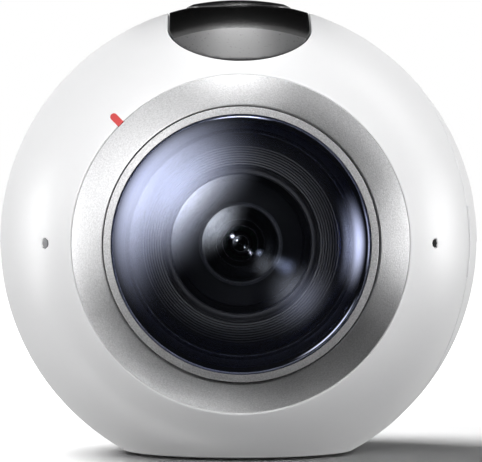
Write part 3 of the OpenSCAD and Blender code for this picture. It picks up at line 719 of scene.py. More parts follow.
class NodeShape(Graph):
    """A Geometry Nodes tree that makes one mesh, with named inputs."""

    def __init__(self, name: str) -> None:
        """Starts a tree with a geometry input and output.

        Args:
            name: the tree's name.
        """
        super().__init__(bpy.data.node_groups.new(name, "GeometryNodeTree"))
        for way in ("INPUT", "OUTPUT"):
            self.tree.interface.new_socket("Geometry", in_out=way, socket_type="NodeSocketGeometry")
        self.given: dict[str, object] = {}
        self.entry = self.tree.nodes.new("NodeGroupInput")
        self.seed = Value(self, self.entry.outputs[0])

    def ask(self, name: str, kind: str, setting: object) -> Value:
        """Adds a named input.

        Args:
            name: the input's name.
            kind: its socket type, such as Int or Float.
            setting: what the modifier sets it to.

        Returns:
            The input inside the tree.
        """
        made = self.tree.interface.new_socket(name, in_out="INPUT", socket_type="NodeSocket" + kind)
        self.given[made.identifier] = setting
        return Value(self, self.entry.outputs[name])

    def index(self) -> Value:
        """Returns each point's number."""
        return self.node("GeometryNodeInputIndex")

    def ring(self, count: int, radius: Term) -> Value:
        """Adds a circle with a number of points."""
        return self.node("GeometryNodeCurvePrimitiveCircle", {"Resolution": count, "Radius": radius})

    def copies(self, unit: Value, count: Value, place: Value, size: Value) -> Value:
        """Puts real copies of a curve at a row of points.

        Args:
            unit: the curve.
            count: how many copies there are.
            place: where each copy is.
            size: how each copy is scaled.

        Returns:
            The copies.
        """
        spots = self.node("GeometryNodePoints", {"Count": count, "Position": place})
        row = self.node("GeometryNodeInstanceOnPoints", {"Points": spots, "Instance": unit, "Scale": size})
        return self.node("GeometryNodeRealizeInstances", {0: row})

    def sweep(self, path: Value, profile: Value, caps: bool = True) -> Value:
        """Draws a profile along a path, with closed ends or without."""
        return self.node("GeometryNodeCurveToMesh", {0: path, 1: profile, "Fill Caps": caps})

    def run(self, shape: Value, material: Material,
            points: Sequence[Sequence[float]] = ((0, 0, 0), (0, 0, 1))) -> Mesh:
        """Ends the tree, runs it on a line and keeps the result as a plain mesh.

        Args:
            shape: the geometry that the tree has made.
            material: what the made mesh is given.
            points: the points of the line that the modifier sits on.

        Returns:
            The made mesh.
        """
        whole = self.node("GeometryNodeRealizeInstances", {0: shape})
        stuff = self.ask("Material", "Material", material)
        dressed = self.node("GeometryNodeSetMaterial", {0: whole, "Material": stuff})
        output = self.tree.nodes.new("NodeGroupOutput")
        self.put(output.inputs[0], dressed)
        holder = make_object("scratch_nodes", line_mesh(points))
        step = holder.modifiers.new("shape", "NODES")
        step.node_group = self.tree
        for identifier, setting in self.given.items():
            step[identifier] = setting
        bpy.context.view_layer.update()
        seen = holder.evaluated_get(bpy.context.evaluated_depsgraph_get())
        mesh = bpy.data.meshes.new_from_object(seen)
        holder.modifiers.remove(step)
        drop([holder])
        return mesh


def rounded(outline: Outline, radius: float, steps: int = 4) -> Outline:
    """Rounds the corners of a closed outline.

    Args:
        outline: the corners in order.
        radius: the rounding's radius, smaller where the sides are short.
        steps: how many parts each rounding has.

    Returns:
        The rounded outline.
    """
    points: Outline = []
    count = len(outline)
    for index in range(count):
        corner = Vector(outline[index])
        back = Vector(outline[index - 1]) - corner
        ahead = Vector(outline[(index + 1) % count]) - corner
        bend = abs(back.angle_signed(ahead, 0.0)) if back.length and ahead.length else 0.0
        if corner.x < ON_AXIS or bend > STRAIGHT:
            points.append((corner.x, corner.y))
            continue
        reach = min(radius / math.tan(bend / 2.0), SIDE_SHARE * back.length, SIDE_SHARE * ahead.length)
        start = corner + back.normalized() * reach
        end = corner + ahead.normalized() * reach
        for step in range(steps + 1):
            share = step / steps
            bow = start * (1 - share) ** 2 + corner * 2 * share * (1 - share) + end * share ** 2
            points.append((bow.x, bow.y))
    return points


def turned(outline: Outline, material: Material, placed: Matrix, segments: int = 192) -> Mesh:
    """Turns a closed outline of radius and height about an axis with Geometry Nodes.

    Args:
        outline: points of radius and height.
        material: the piece's material.
        placed: puts the turned piece's Z axis in its place.
        segments: how many steps there are round the axis.

    Returns:
        The turned mesh.
    """
    shape = NodeShape("turned")
    around = shape.ask("Segments", "Int", segments)
    across = shape.node("GeometryNodeAttributeDomainSize", {0: shape.seed}, "Point Count", component="MESH")
    rows = around + 1.0
    grid = shape.node("GeometryNodeMeshGrid", {"Vertices X": across, "Vertices Y": rows})
    index = shape.index()
    along = shape.math("FLOOR", (index + 0.5) / rows)
    angle = (index - along * rows) / around * (2.0 * math.pi)
    spot = shape.node("GeometryNodeInputPosition")
    read = shape.node("GeometryNodeSampleIndex", {0: shape.seed, "Value": spot, "Index": along},
                      data_type="FLOAT_VECTOR", domain="POINT")
    radius, _, height = shape.parts(read)
    swung = shape.vector(radius * shape.math("COSINE", angle), radius * shape.math("SINE", angle), height)
    moved = shape.node("GeometryNodeSetPosition", {0: grid, "Position": swung})
    merged = shape.node("GeometryNodeMergeByDistance", {0: moved, "Distance": MERGE})
    mesh = shape.run(merged, material, [(r, 0.0, h) for r, h in [*outline, outline[0]]])
    fixed = bmesh.new()
    fixed.from_mesh(mesh)
    bmesh.ops.dissolve_degenerate(fixed, edges=fixed.edges, dist=MERGE / 20.0)
    made = mesh_of(fixed, "turned")
    made.materials.append(material)
    made.transform(placed)
    return made


# Sizes shared by the assemblies


def rise(radius: float, offset: float) -> float:
    """Gives the height of a ball's surface over its middle, at a distance from the axis."""
    return math.sqrt(radius * radius - offset * offset)


def arc(radius: float, middle: float, start: float, end: float, steps: int = 28) -> Outline:
    """Gives points of a ball's outline between two distances from its axis.

    Args:
        radius: the ball's radius.
        middle: the height of its middle.
        start: the first distance from the axis.
        end: the last distance from the axis.
        steps: how many parts the arc has.

    Returns:
        The points, as radius and height.
    """
    first = math.asin(start / radius)
    last = math.asin(end / radius)
    turns = [first + (last - first) * i / steps for i in range(steps + 1)]
    return [(radius * math.sin(a), middle + radius * math.cos(a)) for a in turns]


@dataclass(frozen=True)
class BallSizes:
    """Sizes of the ball that the outer pieces share with the CAD source."""

    radius: float = 29.7
    flat_r: float = 14.17
    foot_rise: float = 0.3
    wall: float = 1.6
    seam_gap: float = 0.1
    fit: float = 0.1
    ring_r: float = 20.1
    reach: float = 80.0
    cut_from: float = 10.0
    skin_t: float = 0.03
    around: int = 320
    along: int = 160

    @property
    def height(self) -> float:
        """Height of the ball's middle over the floor."""
        return self.foot_rise + rise(self.radius, self.flat_r)

    @property
    def middle(self) -> Vector:
        """The ball's middle."""
        return Vector((0.0, 0.0, self.height))

    def solid(self) -> Mesh:
        """Makes the whole ball with its poles on the lens axis.

        Returns:
            The ball's mesh.
        """
        shape = bmesh.new()
        bmesh.ops.create_uvsphere(shape, u_segments=self.around, v_segments=self.along, radius=self.radius)
        shape.transform(Matrix.Translation(self.middle) @ Matrix.Rotation(math.pi / 2.0, 4, "X"))
        return mesh_of(shape, "ball")

    def on_skin(self, point: Vector) -> bool:
        """Tells whether a point is on the ball's surface."""
        return (point - self.middle).length > self.radius - self.skin_t

    def along_y(self, side: Side) -> Matrix:
        """Turns the Z axis into a lens's axis."""
        return Matrix.Translation(self.middle) @ Matrix.Rotation(-side.value * math.pi / 2.0, 4, "X")

    def along_x(self, sign: float, y: float, dz: float) -> Matrix:
        """Turns the Z axis into a line along X, at a place beside the middle."""
        turn = Matrix.Rotation(sign * math.pi / 2.0, 4, "Y")
        return Matrix.Translation(self.middle + Vector((0.0, y, dz))) @ turn

    def towards(self, x: float, side: Side) -> Matrix:
        """Turns the Z axis towards the point of the ball's equator at a distance across."""
        turn = Vector((x, side.value * rise(self.radius, abs(x)), 0.0)).to_track_quat("Z", "Y")
        return Matrix.Translation(self.middle) @ turn.to_matrix().to_4x4()


BALL = BallSizes()


def skin_of(solid: Mesh, keep: Callable[[Vector], bool]) -> Mesh:
    """Keeps the faces of a solid whose middle passes a test.

    Args:
        solid: the solid's mesh.
        keep: the test of a face's middle.

    Returns:
        The open mesh that is left.
    """
    shape = bmesh.new()
    shape.from_mesh(solid)
    away = [f for f in shape.faces if not keep(f.calc_center_median())]
    bmesh.ops.delete(shape, geom=away, context="FACES")
    return mesh_of(shape, solid.name)


def shell(solid: Mesh, cuts: Sequence[Step], edge: Edge, foot: Optional[Foot] = None,
          keep: Callable[[Vector], bool] = BALL.on_skin) -> Mesh:
    """Cuts a solid, keeps its outer skin where the test says so and gives it a wall."""
    return thicken(skin_of(carve(solid, cuts), keep), edge, foot)


class Workshop:
    """Holds the finishes by the record's slots and puts finished pieces in their places."""

    def __init__(self, finishes: dict[str, Finish]) -> None:
        """Makes the material of each slot, or of a variant of a slot, once."""
        self.made = {name: finish.make() for name, finish in finishes.items()}

    def place(self, name: str, mesh: Mesh, slot: str, body: Body, nodes: Sequence[str] = (),
              look: str = "", sharp: float = 34.0) -> Object:
        """Finishes a piece, lets it ride a body and hides the CAD nodes it stands for.

        Args:
            name: the piece's name.
            mesh: its mesh in millimetres.
            slot: the record's material slot.
            body: the body that it moves with.
            nodes: the CAD nodes that it replaces.
            look: the finish, where it isn't the slot's own.
            sharp: the angle in degrees beyond which an edge is sharp.

        Returns:
            The piece.
        """
        finish_mesh(mesh, sharp)
        mesh.materials.clear()
        mesh.materials.append(self.made[look or slot])
        piece = make_object(name, mesh)
        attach(piece, body.value)
        if nodes:
            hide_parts(*nodes)
        LOG.info("%s: %d faces on %s", name, len(mesh.polygons), body.value)
        return piece


# Body


@dataclass
class Door:
    """The hinged side door, its opening in the shells and its hinge."""

    half_w: float = 9.2
    half_h: float = 20.4
    square: float = 2.55
    gap: float = 0.24
    draft: float = 11.0
    thick: float = 1.1
    notch_l: float = 8.8
    notch_w: float = 0.35
    knuckle_r: float = 0.85
    knuckle_l: float = 3.4
    knuckle_round: float = 0.12
    hinge_l: float = 9.2
    inset: float = 0.4
    clear: float = 0.15
    pin_room: float = 0.46
    pin_fit: float = 0.44
    cut_end: float = 11.5
    lip: float = 0.15
    points: int = 144
    segments: int = 48

    @property
    def axis(self) -> Vector:
        """The hinge axis at the height of the ball's middle."""
        y = self.half_w + self.gap
        return Vector((rise(BALL.radius, y) - self.inset, y, BALL.height))

    def cutter(self, grow: float) -> Mesh:
        """Makes the leaned prism of the door's outline.

        Args:
            grow: how much larger than the door it is.

        Returns:
            The prism.
        """
        def swell(part: float) -> float:
            """Bends a circle towards a rectangle."""
            return math.copysign(abs(part) ** (2.0 / self.square), part)

        outline = [((self.half_w + grow) * swell(x), (self.half_h + grow) * swell(y))
                   for x, y in circle(1.0, self.points)]
        edge_x = rise(BALL.radius, self.half_w)
        depth = edge_x - self.cut_end
        lie = Matrix(((0, 0, 1, 0), (1, 0, 0, 0), (0, 1, 0, 0), (0, 0, 0, 1)))
        lean = Matrix.Rotation(math.radians(-self.draft), 4, "Z")
        return prism(outline, -depth, depth, Matrix.Translation((edge_x, 0.0, BALL.height)) @ lean @ lie)

    def rod(self, radius: float, low: float, high: float) -> Mesh:
        """Makes a rod on the hinge axis, with its ends measured from the ball's middle."""
        return prism(circle(radius, self.segments), low, high, Matrix.Translation(self.axis))

    def build(self, shop: Workshop) -> None:
        """Builds the door and the knuckles of its hinge.

        Args:
            shop: places the pieces.
        """
        notch_end = self.notch_l / 2.0 + self.lip
        notch = prism(rectangle(BALL.radius, self.notch_w + self.lip, self.lip), -notch_end, notch_end,
                      Matrix.Translation((BALL.radius, -self.half_w, BALL.height)))
        room = self.knuckle_r + self.clear + self.lip
        end = self.hinge_l / 2.0 + self.clear + self.lip
        start = self.knuckle_l / 2.0 - self.lip
        cuts = [(Cut.KEEP, self.cutter(-self.lip)), (Cut.REMOVE, notch),
                (Cut.REMOVE, self.rod(room, start, end)), (Cut.REMOVE, self.rod(room, -end, -start))]
        mesh = shell(BALL.solid(), cuts, Edge(self.thick, self.lip))
        shop.place("side_door_panel", mesh, "white_shell", Body.DOOR, ["side_door"])
        half = self.knuckle_l / 2.0
        self.knuckle(shop, "door_knuckle", Body.DOOR, band(self.pin_room, self.knuckle_r, -half, half))
        low = half + self.clear
        high = self.hinge_l / 2.0
        for name, sign in (("upper", 1.0), ("lower", -1.0)):
            ring = band(self.pin_fit, self.knuckle_r, sign * low, sign * high)
            self.knuckle(shop, f"{name}_shell_knuckle", Body.CAMERA, ring)

    def knuckle(self, shop: Workshop, name: str, body: Body, outline: Outline) -> None:
        """Builds one knuckle of the hinge.

        Args:
            shop: places the piece.
            name: the piece's name.
            body: the body that it moves with.
            outline: its outline of radius and height.
        """
        mesh = turned(rounded(outline, self.knuckle_round), shop.made["white_shell"],
                      Matrix.Translation(self.axis), self.segments)
        shop.place(name, mesh, "white_shell", body)


@dataclass
class Dots:
    """The status light windows and the microphones beside the lenses."""

    across: float = 23.4
    light_r: float = 0.58
    light_t: float = 1.0
    light_gap: float = 0.05
    lip: float = 0.06
    mic_r: float = 0.6
    segments: int = 40
    mesh_depth: float = 0.25
    wire_r: float = 0.045
    wires: int = 7

    def rod(self, radius: float, x: float, side: Side) -> Mesh:
        """Makes a rod through the ball's surface at a dot."""
        return prism(circle(radius, self.segments), BALL.cut_from, BALL.reach, BALL.towards(x, side))

    def build(self, shop: Workshop) -> None:
        """Builds the light windows and the wire meshes of the microphones.

        Args:
            shop: places the pieces.
        """
        for side in Side:
            word = side.name.lower()
            rod = self.rod(self.light_r - self.lip, side.value * self.across, side)
            mesh = shell(BALL.solid(), [(Cut.KEEP, rod)], Edge(self.light_t, self.lip, 3))
            shop.place(f"{word}_light_window", mesh, "light_window", Body.CAMERA, [f"{word}_status_window"])
            self.weave(shop, word, BALL.towards(-side.value * self.across, side))

    def weave(self, shop: Workshop, word: str, placed: Matrix) -> None:
        """Builds one microphone's wire mesh with Geometry Nodes.

        Args:
            shop: places the piece.
            word: the lens side in words.
            placed: the dot's place.
        """
        shape = NodeShape("wire_mesh")
        count = shape.ask("Wires", "Int", self.wires)
        radius = shape.ask("Radius", "Float", self.mic_r)
        thick = shape.ask("Wire radius", "Float", self.wire_r)
        offset = ((shape.index() + 0.5) / count * 2.0 - 1.0) * radius
        half = shape.math("SQRT", radius * radius - offset * offset)
        ends = {"Start": (0.0, -1.0, 0.0), "End": (0.0, 1.0, 0.0)}
        wire = shape.node("GeometryNodeCurvePrimitiveLine", ends)
        row = shape.copies(wire, count, shape.vector(offset), shape.vector(1.0, half, 1.0))
        cross = shape.node("GeometryNodeTransform", {0: row, "Rotation": (0.0, 0.0, math.pi / 2.0),
                                                     "Translation": (0.0, 0.0, -self.wire_r)})
        both = shape.node("GeometryNodeJoinGeometry", {0: row})
        shape.put(both.socket.node.inputs[0], cross)
        mesh = shape.run(shape.sweep(both, shape.ring(8, thick)), shop.made["steel"])
        height = BALL.radius - self.mesh_depth + 2.0 * self.wire_r
        mesh.transform(placed @ Matrix.Translation((0.0, 0.0, height)))
        shop.place(f"{word}_mic_mesh", mesh, "black_plastic", Body.CAMERA)


@dataclass
class TopPanel:
    """The black panel over the top, its sloped ends, the shutter button and the display window."""

    half_w: float = 8.65
    land: float = 1.8
    slope_l: float = 5.57
    slope_bow: float = 0.1
    slope_past: float = 1.0
    thick: float = 1.0
    button_r: float = 6.5
    run: float = 0.06
    button_proud: float = 0.3
    button_edge: float = 0.1
    button_bevel: float = 25.0
    button_skirt: float = 2.4
    button_round: float = 0.12
    button_land: float = 1.94
    display_land: float = 0.9
    display_w: float = 12.0
    display_corner: float = 0.3
    display_lip: float = 0.08
    lip: float = 0.12
    end_steps: int = 72
    slope_steps: int = 12
    top_steps: int = 70

    @property
    def half_l(self) -> float:
        """Half the panel's length."""
        return rise(BALL.radius, BALL.ring_r + BALL.fit) - self.land

    @property
    def edge_y(self) -> float:
        """Distance from the middle to the start of the sloped ends."""
        return self.half_l - self.slope_l

    def outline(self, grow: float) -> Outline:
        """Gives the panel's outline from above.

        Args:
            grow: how much larger than the panel it is.

        Returns:
            The outline.
        """
        end_y = self.half_l - self.half_w
        points = []
        for end in (1.0, -1.0):
            for step in range(self.end_steps + 1):
                turn = math.pi * step / self.end_steps
                points.append(((self.half_w + grow) * math.cos(turn) * end,
                               end * (end_y + (self.half_w + grow) * math.sin(turn))))
        return points

    def cutter(self, grow: float) -> Mesh:
        """Makes the upright prism of the panel's outline."""
        return prism(self.outline(grow), 0.0, BALL.reach, Matrix.Translation(BALL.middle))

    def reach_at(self, y: float) -> float:
        """Gives the distance of the panel's surface from the lens axis.

        Args:
            y: the place along the lens axis.

        Returns:
            The distance.
        """
        far_y = self.half_l + BALL.fit
        if abs(y) <= self.edge_y:
            return rise(BALL.radius, y)
        near = rise(BALL.radius, self.edge_y)
        far = rise(BALL.radius, far_y)
        share = min((abs(y) - self.edge_y) / (far_y - self.edge_y), 1.0)
        return near + (far - near) * share + 4.0 * self.slope_bow * share * (1.0 - share)

    def on_skin(self, point: Vector) -> bool:
        """Tells whether a point is on the panel's surface."""
        return math.hypot(point.x, point.z - BALL.height) > self.reach_at(point.y) - BALL.skin_t

    def solid(self) -> Mesh:
        """Makes the ball with slightly bowed slopes at both ends.

        Returns:
            The solid's mesh.
        """
        slope = [self.edge_y + self.slope_l * i / self.slope_steps for i in range(1, self.slope_steps + 1)]
        slope.append(self.half_l + self.slope_past)
        top = [self.edge_y * i / self.top_steps for i in range(-self.top_steps, self.top_steps + 1)]
        shape = bmesh.new()
        rings = []
        for y in [-y for y in reversed(slope)] + top + slope:
            around = circle(self.reach_at(y), BALL.around)
            rings.append([shape.verts.new((x, y, BALL.height + z)) for x, z in around])
        for first, second in zip(rings, rings[1:]):
            for i in range(BALL.around):
                j = (i + 1) % BALL.around
                shape.faces.new((first[i], first[j], second[j], second[i]))
        shape.faces.new(rings[0])
        shape.faces.new(list(reversed(rings[-1])))
        return mesh_of(shape, "sloped_ball")

    def display_cutter(self, grow: float) -> Mesh:
        """Makes the upright prism of the display window.

        Args:
            grow: how much larger than the window it is.

        Returns:
            The prism.
        """
        start = self.button_r + self.run + self.button_land
        end = self.edge_y - self.display_land
        half_l = (end - start) / 2.0
        place = BALL.middle + Vector((0.0, (start + end) / 2.0, 0.0))
        window = rectangle(self.display_w / 2.0 + grow, half_l + grow, self.display_corner + grow)
        return prism(window, 0.0, BALL.reach, Matrix.Translation(place))

    def button(self) -> Outline:
        """Gives the button's outline: a domed top, the bevel round it and the skirt.

        Returns:
            The outline of radius and height.
        """
        top = BALL.radius + self.button_proud
        edge = rise(BALL.radius, self.button_r) + self.button_edge
        fall = math.tan(math.radians(self.button_bevel))
        peak = edge + fall * self.button_r
        root = math.sqrt((peak * fall) ** 2 - (1.0 + fall ** 2) * (peak ** 2 - top ** 2))
        dome_end = (peak * fall - root) / (1.0 + fall ** 2)
        low = top - self.button_skirt
        side = [(self.button_r, edge), (self.button_r, low), (0.0, low)]
        return rounded(arc(top, 0.0, 0.0, dome_end, 20) + side, self.button_round, 6)

    def build(self, shop: Workshop) -> None:
        """Builds the panel, the button and the display window.

        Args:
            shop: places the pieces.
        """
        upright = Matrix.Translation(BALL.middle)
        hole = prism(circle(self.button_r + self.run + self.lip), 0.0, BALL.reach, upright)
        cuts = [(Cut.KEEP, self.cutter(-self.lip)), (Cut.REMOVE, hole),
                (Cut.REMOVE, self.display_cutter(BALL.fit + self.lip))]
        mesh = shell(self.solid(), cuts, Edge(self.thick, self.lip), keep=self.on_skin)
        # the sloped ends carry painted sheen, a lighter colour in their finish
        panel = shop.place("top_panel_cover", mesh, "black_gloss", Body.CAMERA, ["top_panel"], "sloped_gloss")
        crease = self.edge_y * MM
        for edge in panel.data.edges:
            ends = [panel.data.vertices[i].co for i in edge.vertices]
            if all(abs(abs(p.y) - crease) < 1e-6 for p in ends):
                edge.use_edge_sharp = True
        mesh = turned(self.button(), shop.made["black_gloss"], upright)
        shop.place("shutter_cap", mesh, "black_gloss", Body.SHUTTER, ["shutter_button"], "button_gloss")
        window = [(Cut.KEEP, self.display_cutter(-self.display_lip))]
        mesh = shell(BALL.solid(), window, Edge(self.thick, self.display_lip, 3),
                     keep=lambda point: BALL.on_skin(point) and point.z > BALL.height)
        shop.place("display_glass", mesh, "black_gloss", Body.CAMERA, ["display_window"], "button_gloss")


@dataclass
class SideKeys:
    """The menu and power keys in the rear shell, opposite the door."""

    radius: float = 2.6
    y: float = 4.2
    dz: float = 5.2
    run: float = 0.06
    lip: float = 0.14
    depth: float = 0.8
    segments: int = 96

    def inner(self, point: Vector, wall: float) -> Optional[Vector]:
        """Gives the inner edge of a key's or its hole's wall, which runs along the key's axis.

        Args:
            point: a point on an outer edge.
            wall: the wall's depth.

        Returns:
            The point on the inner edge, or None where the outer edge isn't a key's.
        """
        across = point.y - self.y
        offs = [math.hypot(across, point.z - BALL.height - sign * self.dz) for sign in (1.0, -1.0)]
        if point.x > 0.0 or min(offs) > self.radius + 2.0 * self.lip:
            return None
        return point + Vector((wall, 0.0, 0.0))

    def rod(self, grow: float, sign: float) -> Mesh:
        """Makes a rod along a key's axis: sign is 1 for the power key and -1 for the menu key."""
        placed = BALL.along_x(-1.0, self.y, sign * self.dz)
        return prism(circle(self.radius + grow, self.segments), BALL.cut_from, BALL.reach, placed)

    def build(self, shop: Workshop) -> None:
        """Builds both keys.

        Args:
            shop: places the pieces.
        """
        for body, node, sign in ((Body.POWER, "power_key", 1.0), (Body.MENU, "menu_key", -1.0)):
            mesh = shell(BALL.solid(), [(Cut.KEEP, self.rod(-self.lip, sign))], Edge(self.depth, self.lip),
                         partial(self.inner, wall=self.depth))
            shop.place(node + "_cap", mesh, "white_shell", body, [node])


@dataclass
class Shells:
    """The two half shells and the red index mark."""

    door: Door
    panel: TopPanel
    keys: SideKeys
    dots: Dots
    lip: float = 0.16
    base_r: float = 11.6
    base_zone: float = 0.2
    lens_segments: int = 256
    mark_l: float = 1.6
    mark_w: float = 0.85
    mark_angle: float = 135.0
    mark_t: float = 0.4
    mark_lip: float = 0.02
    mark_proud: float = 0.012
    mark_steps: int = 24

    def foot(self, point: Vector) -> Optional[Vector]:
        """Gives the inner edge of the flat underside and of the keys' holes.

        Args:
            point: a point on an outer edge.

        Returns:
            The point on the inner edge, or None where the wall goes straight in.
        """
        if point.z > BALL.foot_rise + self.base_zone:
            return self.keys.inner(point, BALL.wall)
        flat = Vector((point.x, point.y, 0.0)).normalized() * self.base_r
        return Vector((flat.x, flat.y, BALL.foot_rise))

    def build(self, shop: Workshop) -> None:
        """Builds the shells and the mark.

        Args:
            shop: places the pieces.
        """
        for side in Side:
            self.half(shop, side)
        self.mark(shop)

    def half(self, shop: Workshop, side: Side) -> None:
        """Builds one half shell.

        Args:
            shop: places the piece.
            side: its lens side.
        """
        word = side.name.lower()
        lip = self.lip
        door, dots = self.door, self.dots
        opening = circle(BALL.ring_r + BALL.fit + lip, self.lens_segments)
        lens = prism(opening, BALL.cut_from, BALL.reach, BALL.along_y(side))
        half = BALL.reach / 2.0
        depth = half / 2.0
        start = BALL.seam_gap / 2.0 + lip
        floor = BALL.foot_rise + lip * BALL.flat_r / BALL.radius
        middle = Vector((0.0, side.value * (start + depth), floor + half))
        block = prism(rectangle(half, depth, BALL.skin_t), -half, half, Matrix.Translation(middle))
        light = dots.rod(dots.light_r + dots.light_gap + lip / 3.0, side.value * dots.across, side)
        mic = dots.rod(dots.mic_r + lip / 3.0, -side.value * dots.across, side)
        holes = [lens, door.cutter(door.gap + lip), self.panel.cutter(BALL.fit + lip), light, mic]
        if side is Side.REAR:
            half_l = door.knuckle_l / 2.0 + door.clear + lip
            holes.append(door.rod(door.knuckle_r + door.clear + lip, -half_l, half_l))
            holes += [self.keys.rod(self.keys.run + lip, sign) for sign in (1.0, -1.0)]
        cuts = [(Cut.KEEP, block)] + [(Cut.REMOVE, hole) for hole in holes]
        mesh = shell(BALL.solid(), cuts, Edge(BALL.wall, lip), self.foot)
        shop.place(f"{word}_half_shell", mesh, "white_shell", Body.CAMERA, [f"{word}_shell"])

    def mark(self, shop: Workshop) -> None:
        """Builds the red index mark as a thin inlay.

        Args:
            shop: places the piece.
        """
        half = self.mark_w / 2.0
        start = BALL.ring_r + BALL.fit
        end = start + self.mark_l - half
        turns = [math.pi * (i / self.mark_steps - 0.5) for i in range(self.mark_steps + 1)]
        outline = [(end + half * math.cos(a), half * math.sin(a)) for a in turns]
        outline += [(start, half), (start, -half)]
        placed = BALL.along_y(Side.FRONT) @ Matrix.Rotation(math.radians(self.mark_angle), 4, "Z")
        radius = BALL.radius + self.mark_proud
        grown = BallSizes(radius=radius, flat_r=rise(radius, rise(BALL.radius, BALL.flat_r)))
        cutter = prism(outline, BALL.cut_from, BALL.reach, placed)
        mesh = shell(grown.solid(), [(Cut.KEEP, cutter)], Edge(self.mark_t, self.mark_lip, 2))
        shop.place("red_index_mark", mesh, "red_mark", Body.CAMERA, ["index_mark"])


# Lens


@dataclass
class LensUnit:
    """One fisheye lens: its metal ring and bezel, its glass and the black pieces behind it."""

    side: Side
    ring_w: float = 3.75
    ring_rise: float = 3.75
    ring_t: float = 1.65
    ring_skirt: float = 2.1
    ring_skirt_t: float = 1.4
    bezel_wall: float = 0.47
    bezel_lip: float = 0.42
    bezel_lip_t: float = 0.2
    bezel_skirt: float = 3.0
    dome_rise: float = 7.84
    dome_drop: float = 0.1
    dome_t: float = 1.4
    dome_edge_t: float = 0.9
    cup_wall: float = 1.5
    cup_depth: float = 4.35
    baffle_land: float = 2.48
    rib_band: float = 2.3
    rib_fall: float = 1.7
    rib_count: int = 8
    rib_r: float = 0.1
    retainer_w: float = 0.94
    retainer_h: float = 1.9
    groove_h: float = 0.8
    inner_dome_r: float = 16.5
    inner_rise: float = 4.2
    core_r: float = 5.0
    core_dome_r: float = 8.0
    core_rise: float = 3.5
    core_rim: float = 0.55
    pupil_r: float = 1.5
    pupil_dome_r: float = 1.8
    inner_edge_t: float = 3.1
    inner_shelf: float = 1.6
    stop_r: float = 2.13
    stop_ring_r: float = 5.0
    stop_t: float = 1.2
    seat: float = 0.03
    core_seat: float = 0.05
    rim_t: float = 0.2
    rim_depth: float = 0.3
    rim_gap: float = 0.02
    line_w: float = 0.1
    line_lift: float = 0.1
    guide_gap: float = 0.77
    pupil_lift: float = 0.3
    groove_wall: float = 0.1
    retainer_bevel: float = 0.16
    bead_out: float = 0.45
    bead_w: float = 0.28
    bead_h: float = 0.29
    bead_gap: float = 0.01
    metal_round: float = 0.16
    bezel_round: float = 0.1
    black_round: float = 0.06
    rim_round: float = 0.05
    line_round: float = 0.03
    cone_round: float = 0.08
    bead_round: float = 0.12
    dome_steps: int = 56
    second_steps: int = 48
    core_steps: int = 32
    pupil_steps: int = 20
    rib_steps: int = 192
    rib_sides: int = 10
    word: str = field(init=False)
    placed: Matrix = field(init=False)

    def __post_init__(self) -> None:
        """Works out the lens's name, place and main heights from its sizes."""
        fit = BALL.fit
        self.word = self.side.name.lower()
        self.placed = BALL.along_y(self.side)
        self.ring_u = rise(BALL.radius, BALL.ring_r)
        self.ring_top = self.ring_u + self.ring_rise
        self.ring_in_r = BALL.ring_r - self.ring_w
        self.bezel_r = self.ring_in_r - fit
        self.bore_r = self.bezel_r - self.bezel_wall
        self.aperture_r = self.bore_r - self.bezel_lip
        self.edge_r = self.bore_r - fit
        self.edge_u = self.ring_top - self.dome_drop
        self.dome_r = (self.edge_r ** 2 + self.dome_rise ** 2) / (2.0 * self.dome_rise)
        self.dome_mid = self.edge_u + self.dome_rise - self.dome_r
        self.seat_u = self.edge_u - self.dome_edge_t
        self.cup_bore_r = self.edge_r - self.cup_wall
        self.shelf_u = self.seat_u - self.cup_depth
        self.rib_outer_r = self.cup_bore_r - self.baffle_land
        self.rib_inner_r = self.rib_outer_r - self.rib_band
        self.retainer_r = self.rib_inner_r - fit
        self.inner_r = self.retainer_r - self.retainer_w - fit
        self.inner_rim_r = self.retainer_r - fit
        self.inner_seat_u = self.shelf_u - self.inner_edge_t

    def coating(self, lens: str) -> str:
        """Names the coating of one of this side's lenses, given the lens's name."""
        return f"{self.word}_{lens}_glass"

    def turn(self, shop: Workshop, name: str, outline: Outline, slot: str, node: str = "",
             look: str = "") -> None:
        """Turns a piece on the lens axis and places it.

        Args:
            shop: places the piece.
            name: the piece's name without its lens side.
            outline: its outline of radius and height.
            slot: the record's material slot.
            node: the CAD node that it replaces, without its lens side.
            look: the finish, where it isn't the slot's own.
        """
        mesh = turned(outline, shop.made[look or slot], self.placed)
        nodes = [f"{self.word}_{node}"] if node else []
        shop.place(f"{self.word}_{name}", mesh, slot, Body.CAMERA, nodes, look)

    def build(self, shop: Workshop) -> None:
        """Builds the lens.

        Args:
            shop: places the pieces.
        """
        self.metal(shop)
        self.glass(shop)
        self.baffle(shop)
        self.inside(shop)

    def metal(self, shop: Workshop) -> None:
        """Builds the sloped ring and the bezel.

        Args:
            shop: places the pieces.
        """
        bottom = self.ring_u - self.ring_skirt
        back_r = BALL.ring_r - self.ring_skirt_t
        back_u = self.ring_u + self.ring_skirt_t - self.ring_t
        ring = [(BALL.ring_r, bottom), (BALL.ring_r, self.ring_u), (self.ring_in_r, self.ring_top),
                (self.ring_in_r, self.ring_top - self.ring_t), (back_r, back_u), (back_r, bottom)]
        self.turn(shop, "metal_ring", rounded(ring, self.metal_round), "silver_metal", "lens_ring")
        lip_u = self.dome_mid + rise(self.dome_r, self.aperture_r) + BALL.fit
        low = self.ring_top - self.bezel_skirt
        bezel = [(self.bore_r, low), (self.bezel_r, low), (self.bezel_r, self.ring_top),
                 (self.aperture_r, lip_u + self.bezel_lip_t), (self.aperture_r, lip_u),
                 (self.bore_r, self.edge_u)]
        outline = rounded(bezel, self.bezel_round)
        self.turn(shop, "metal_bezel", outline, "silver_metal", "lens_bezel", "bezel_metal")

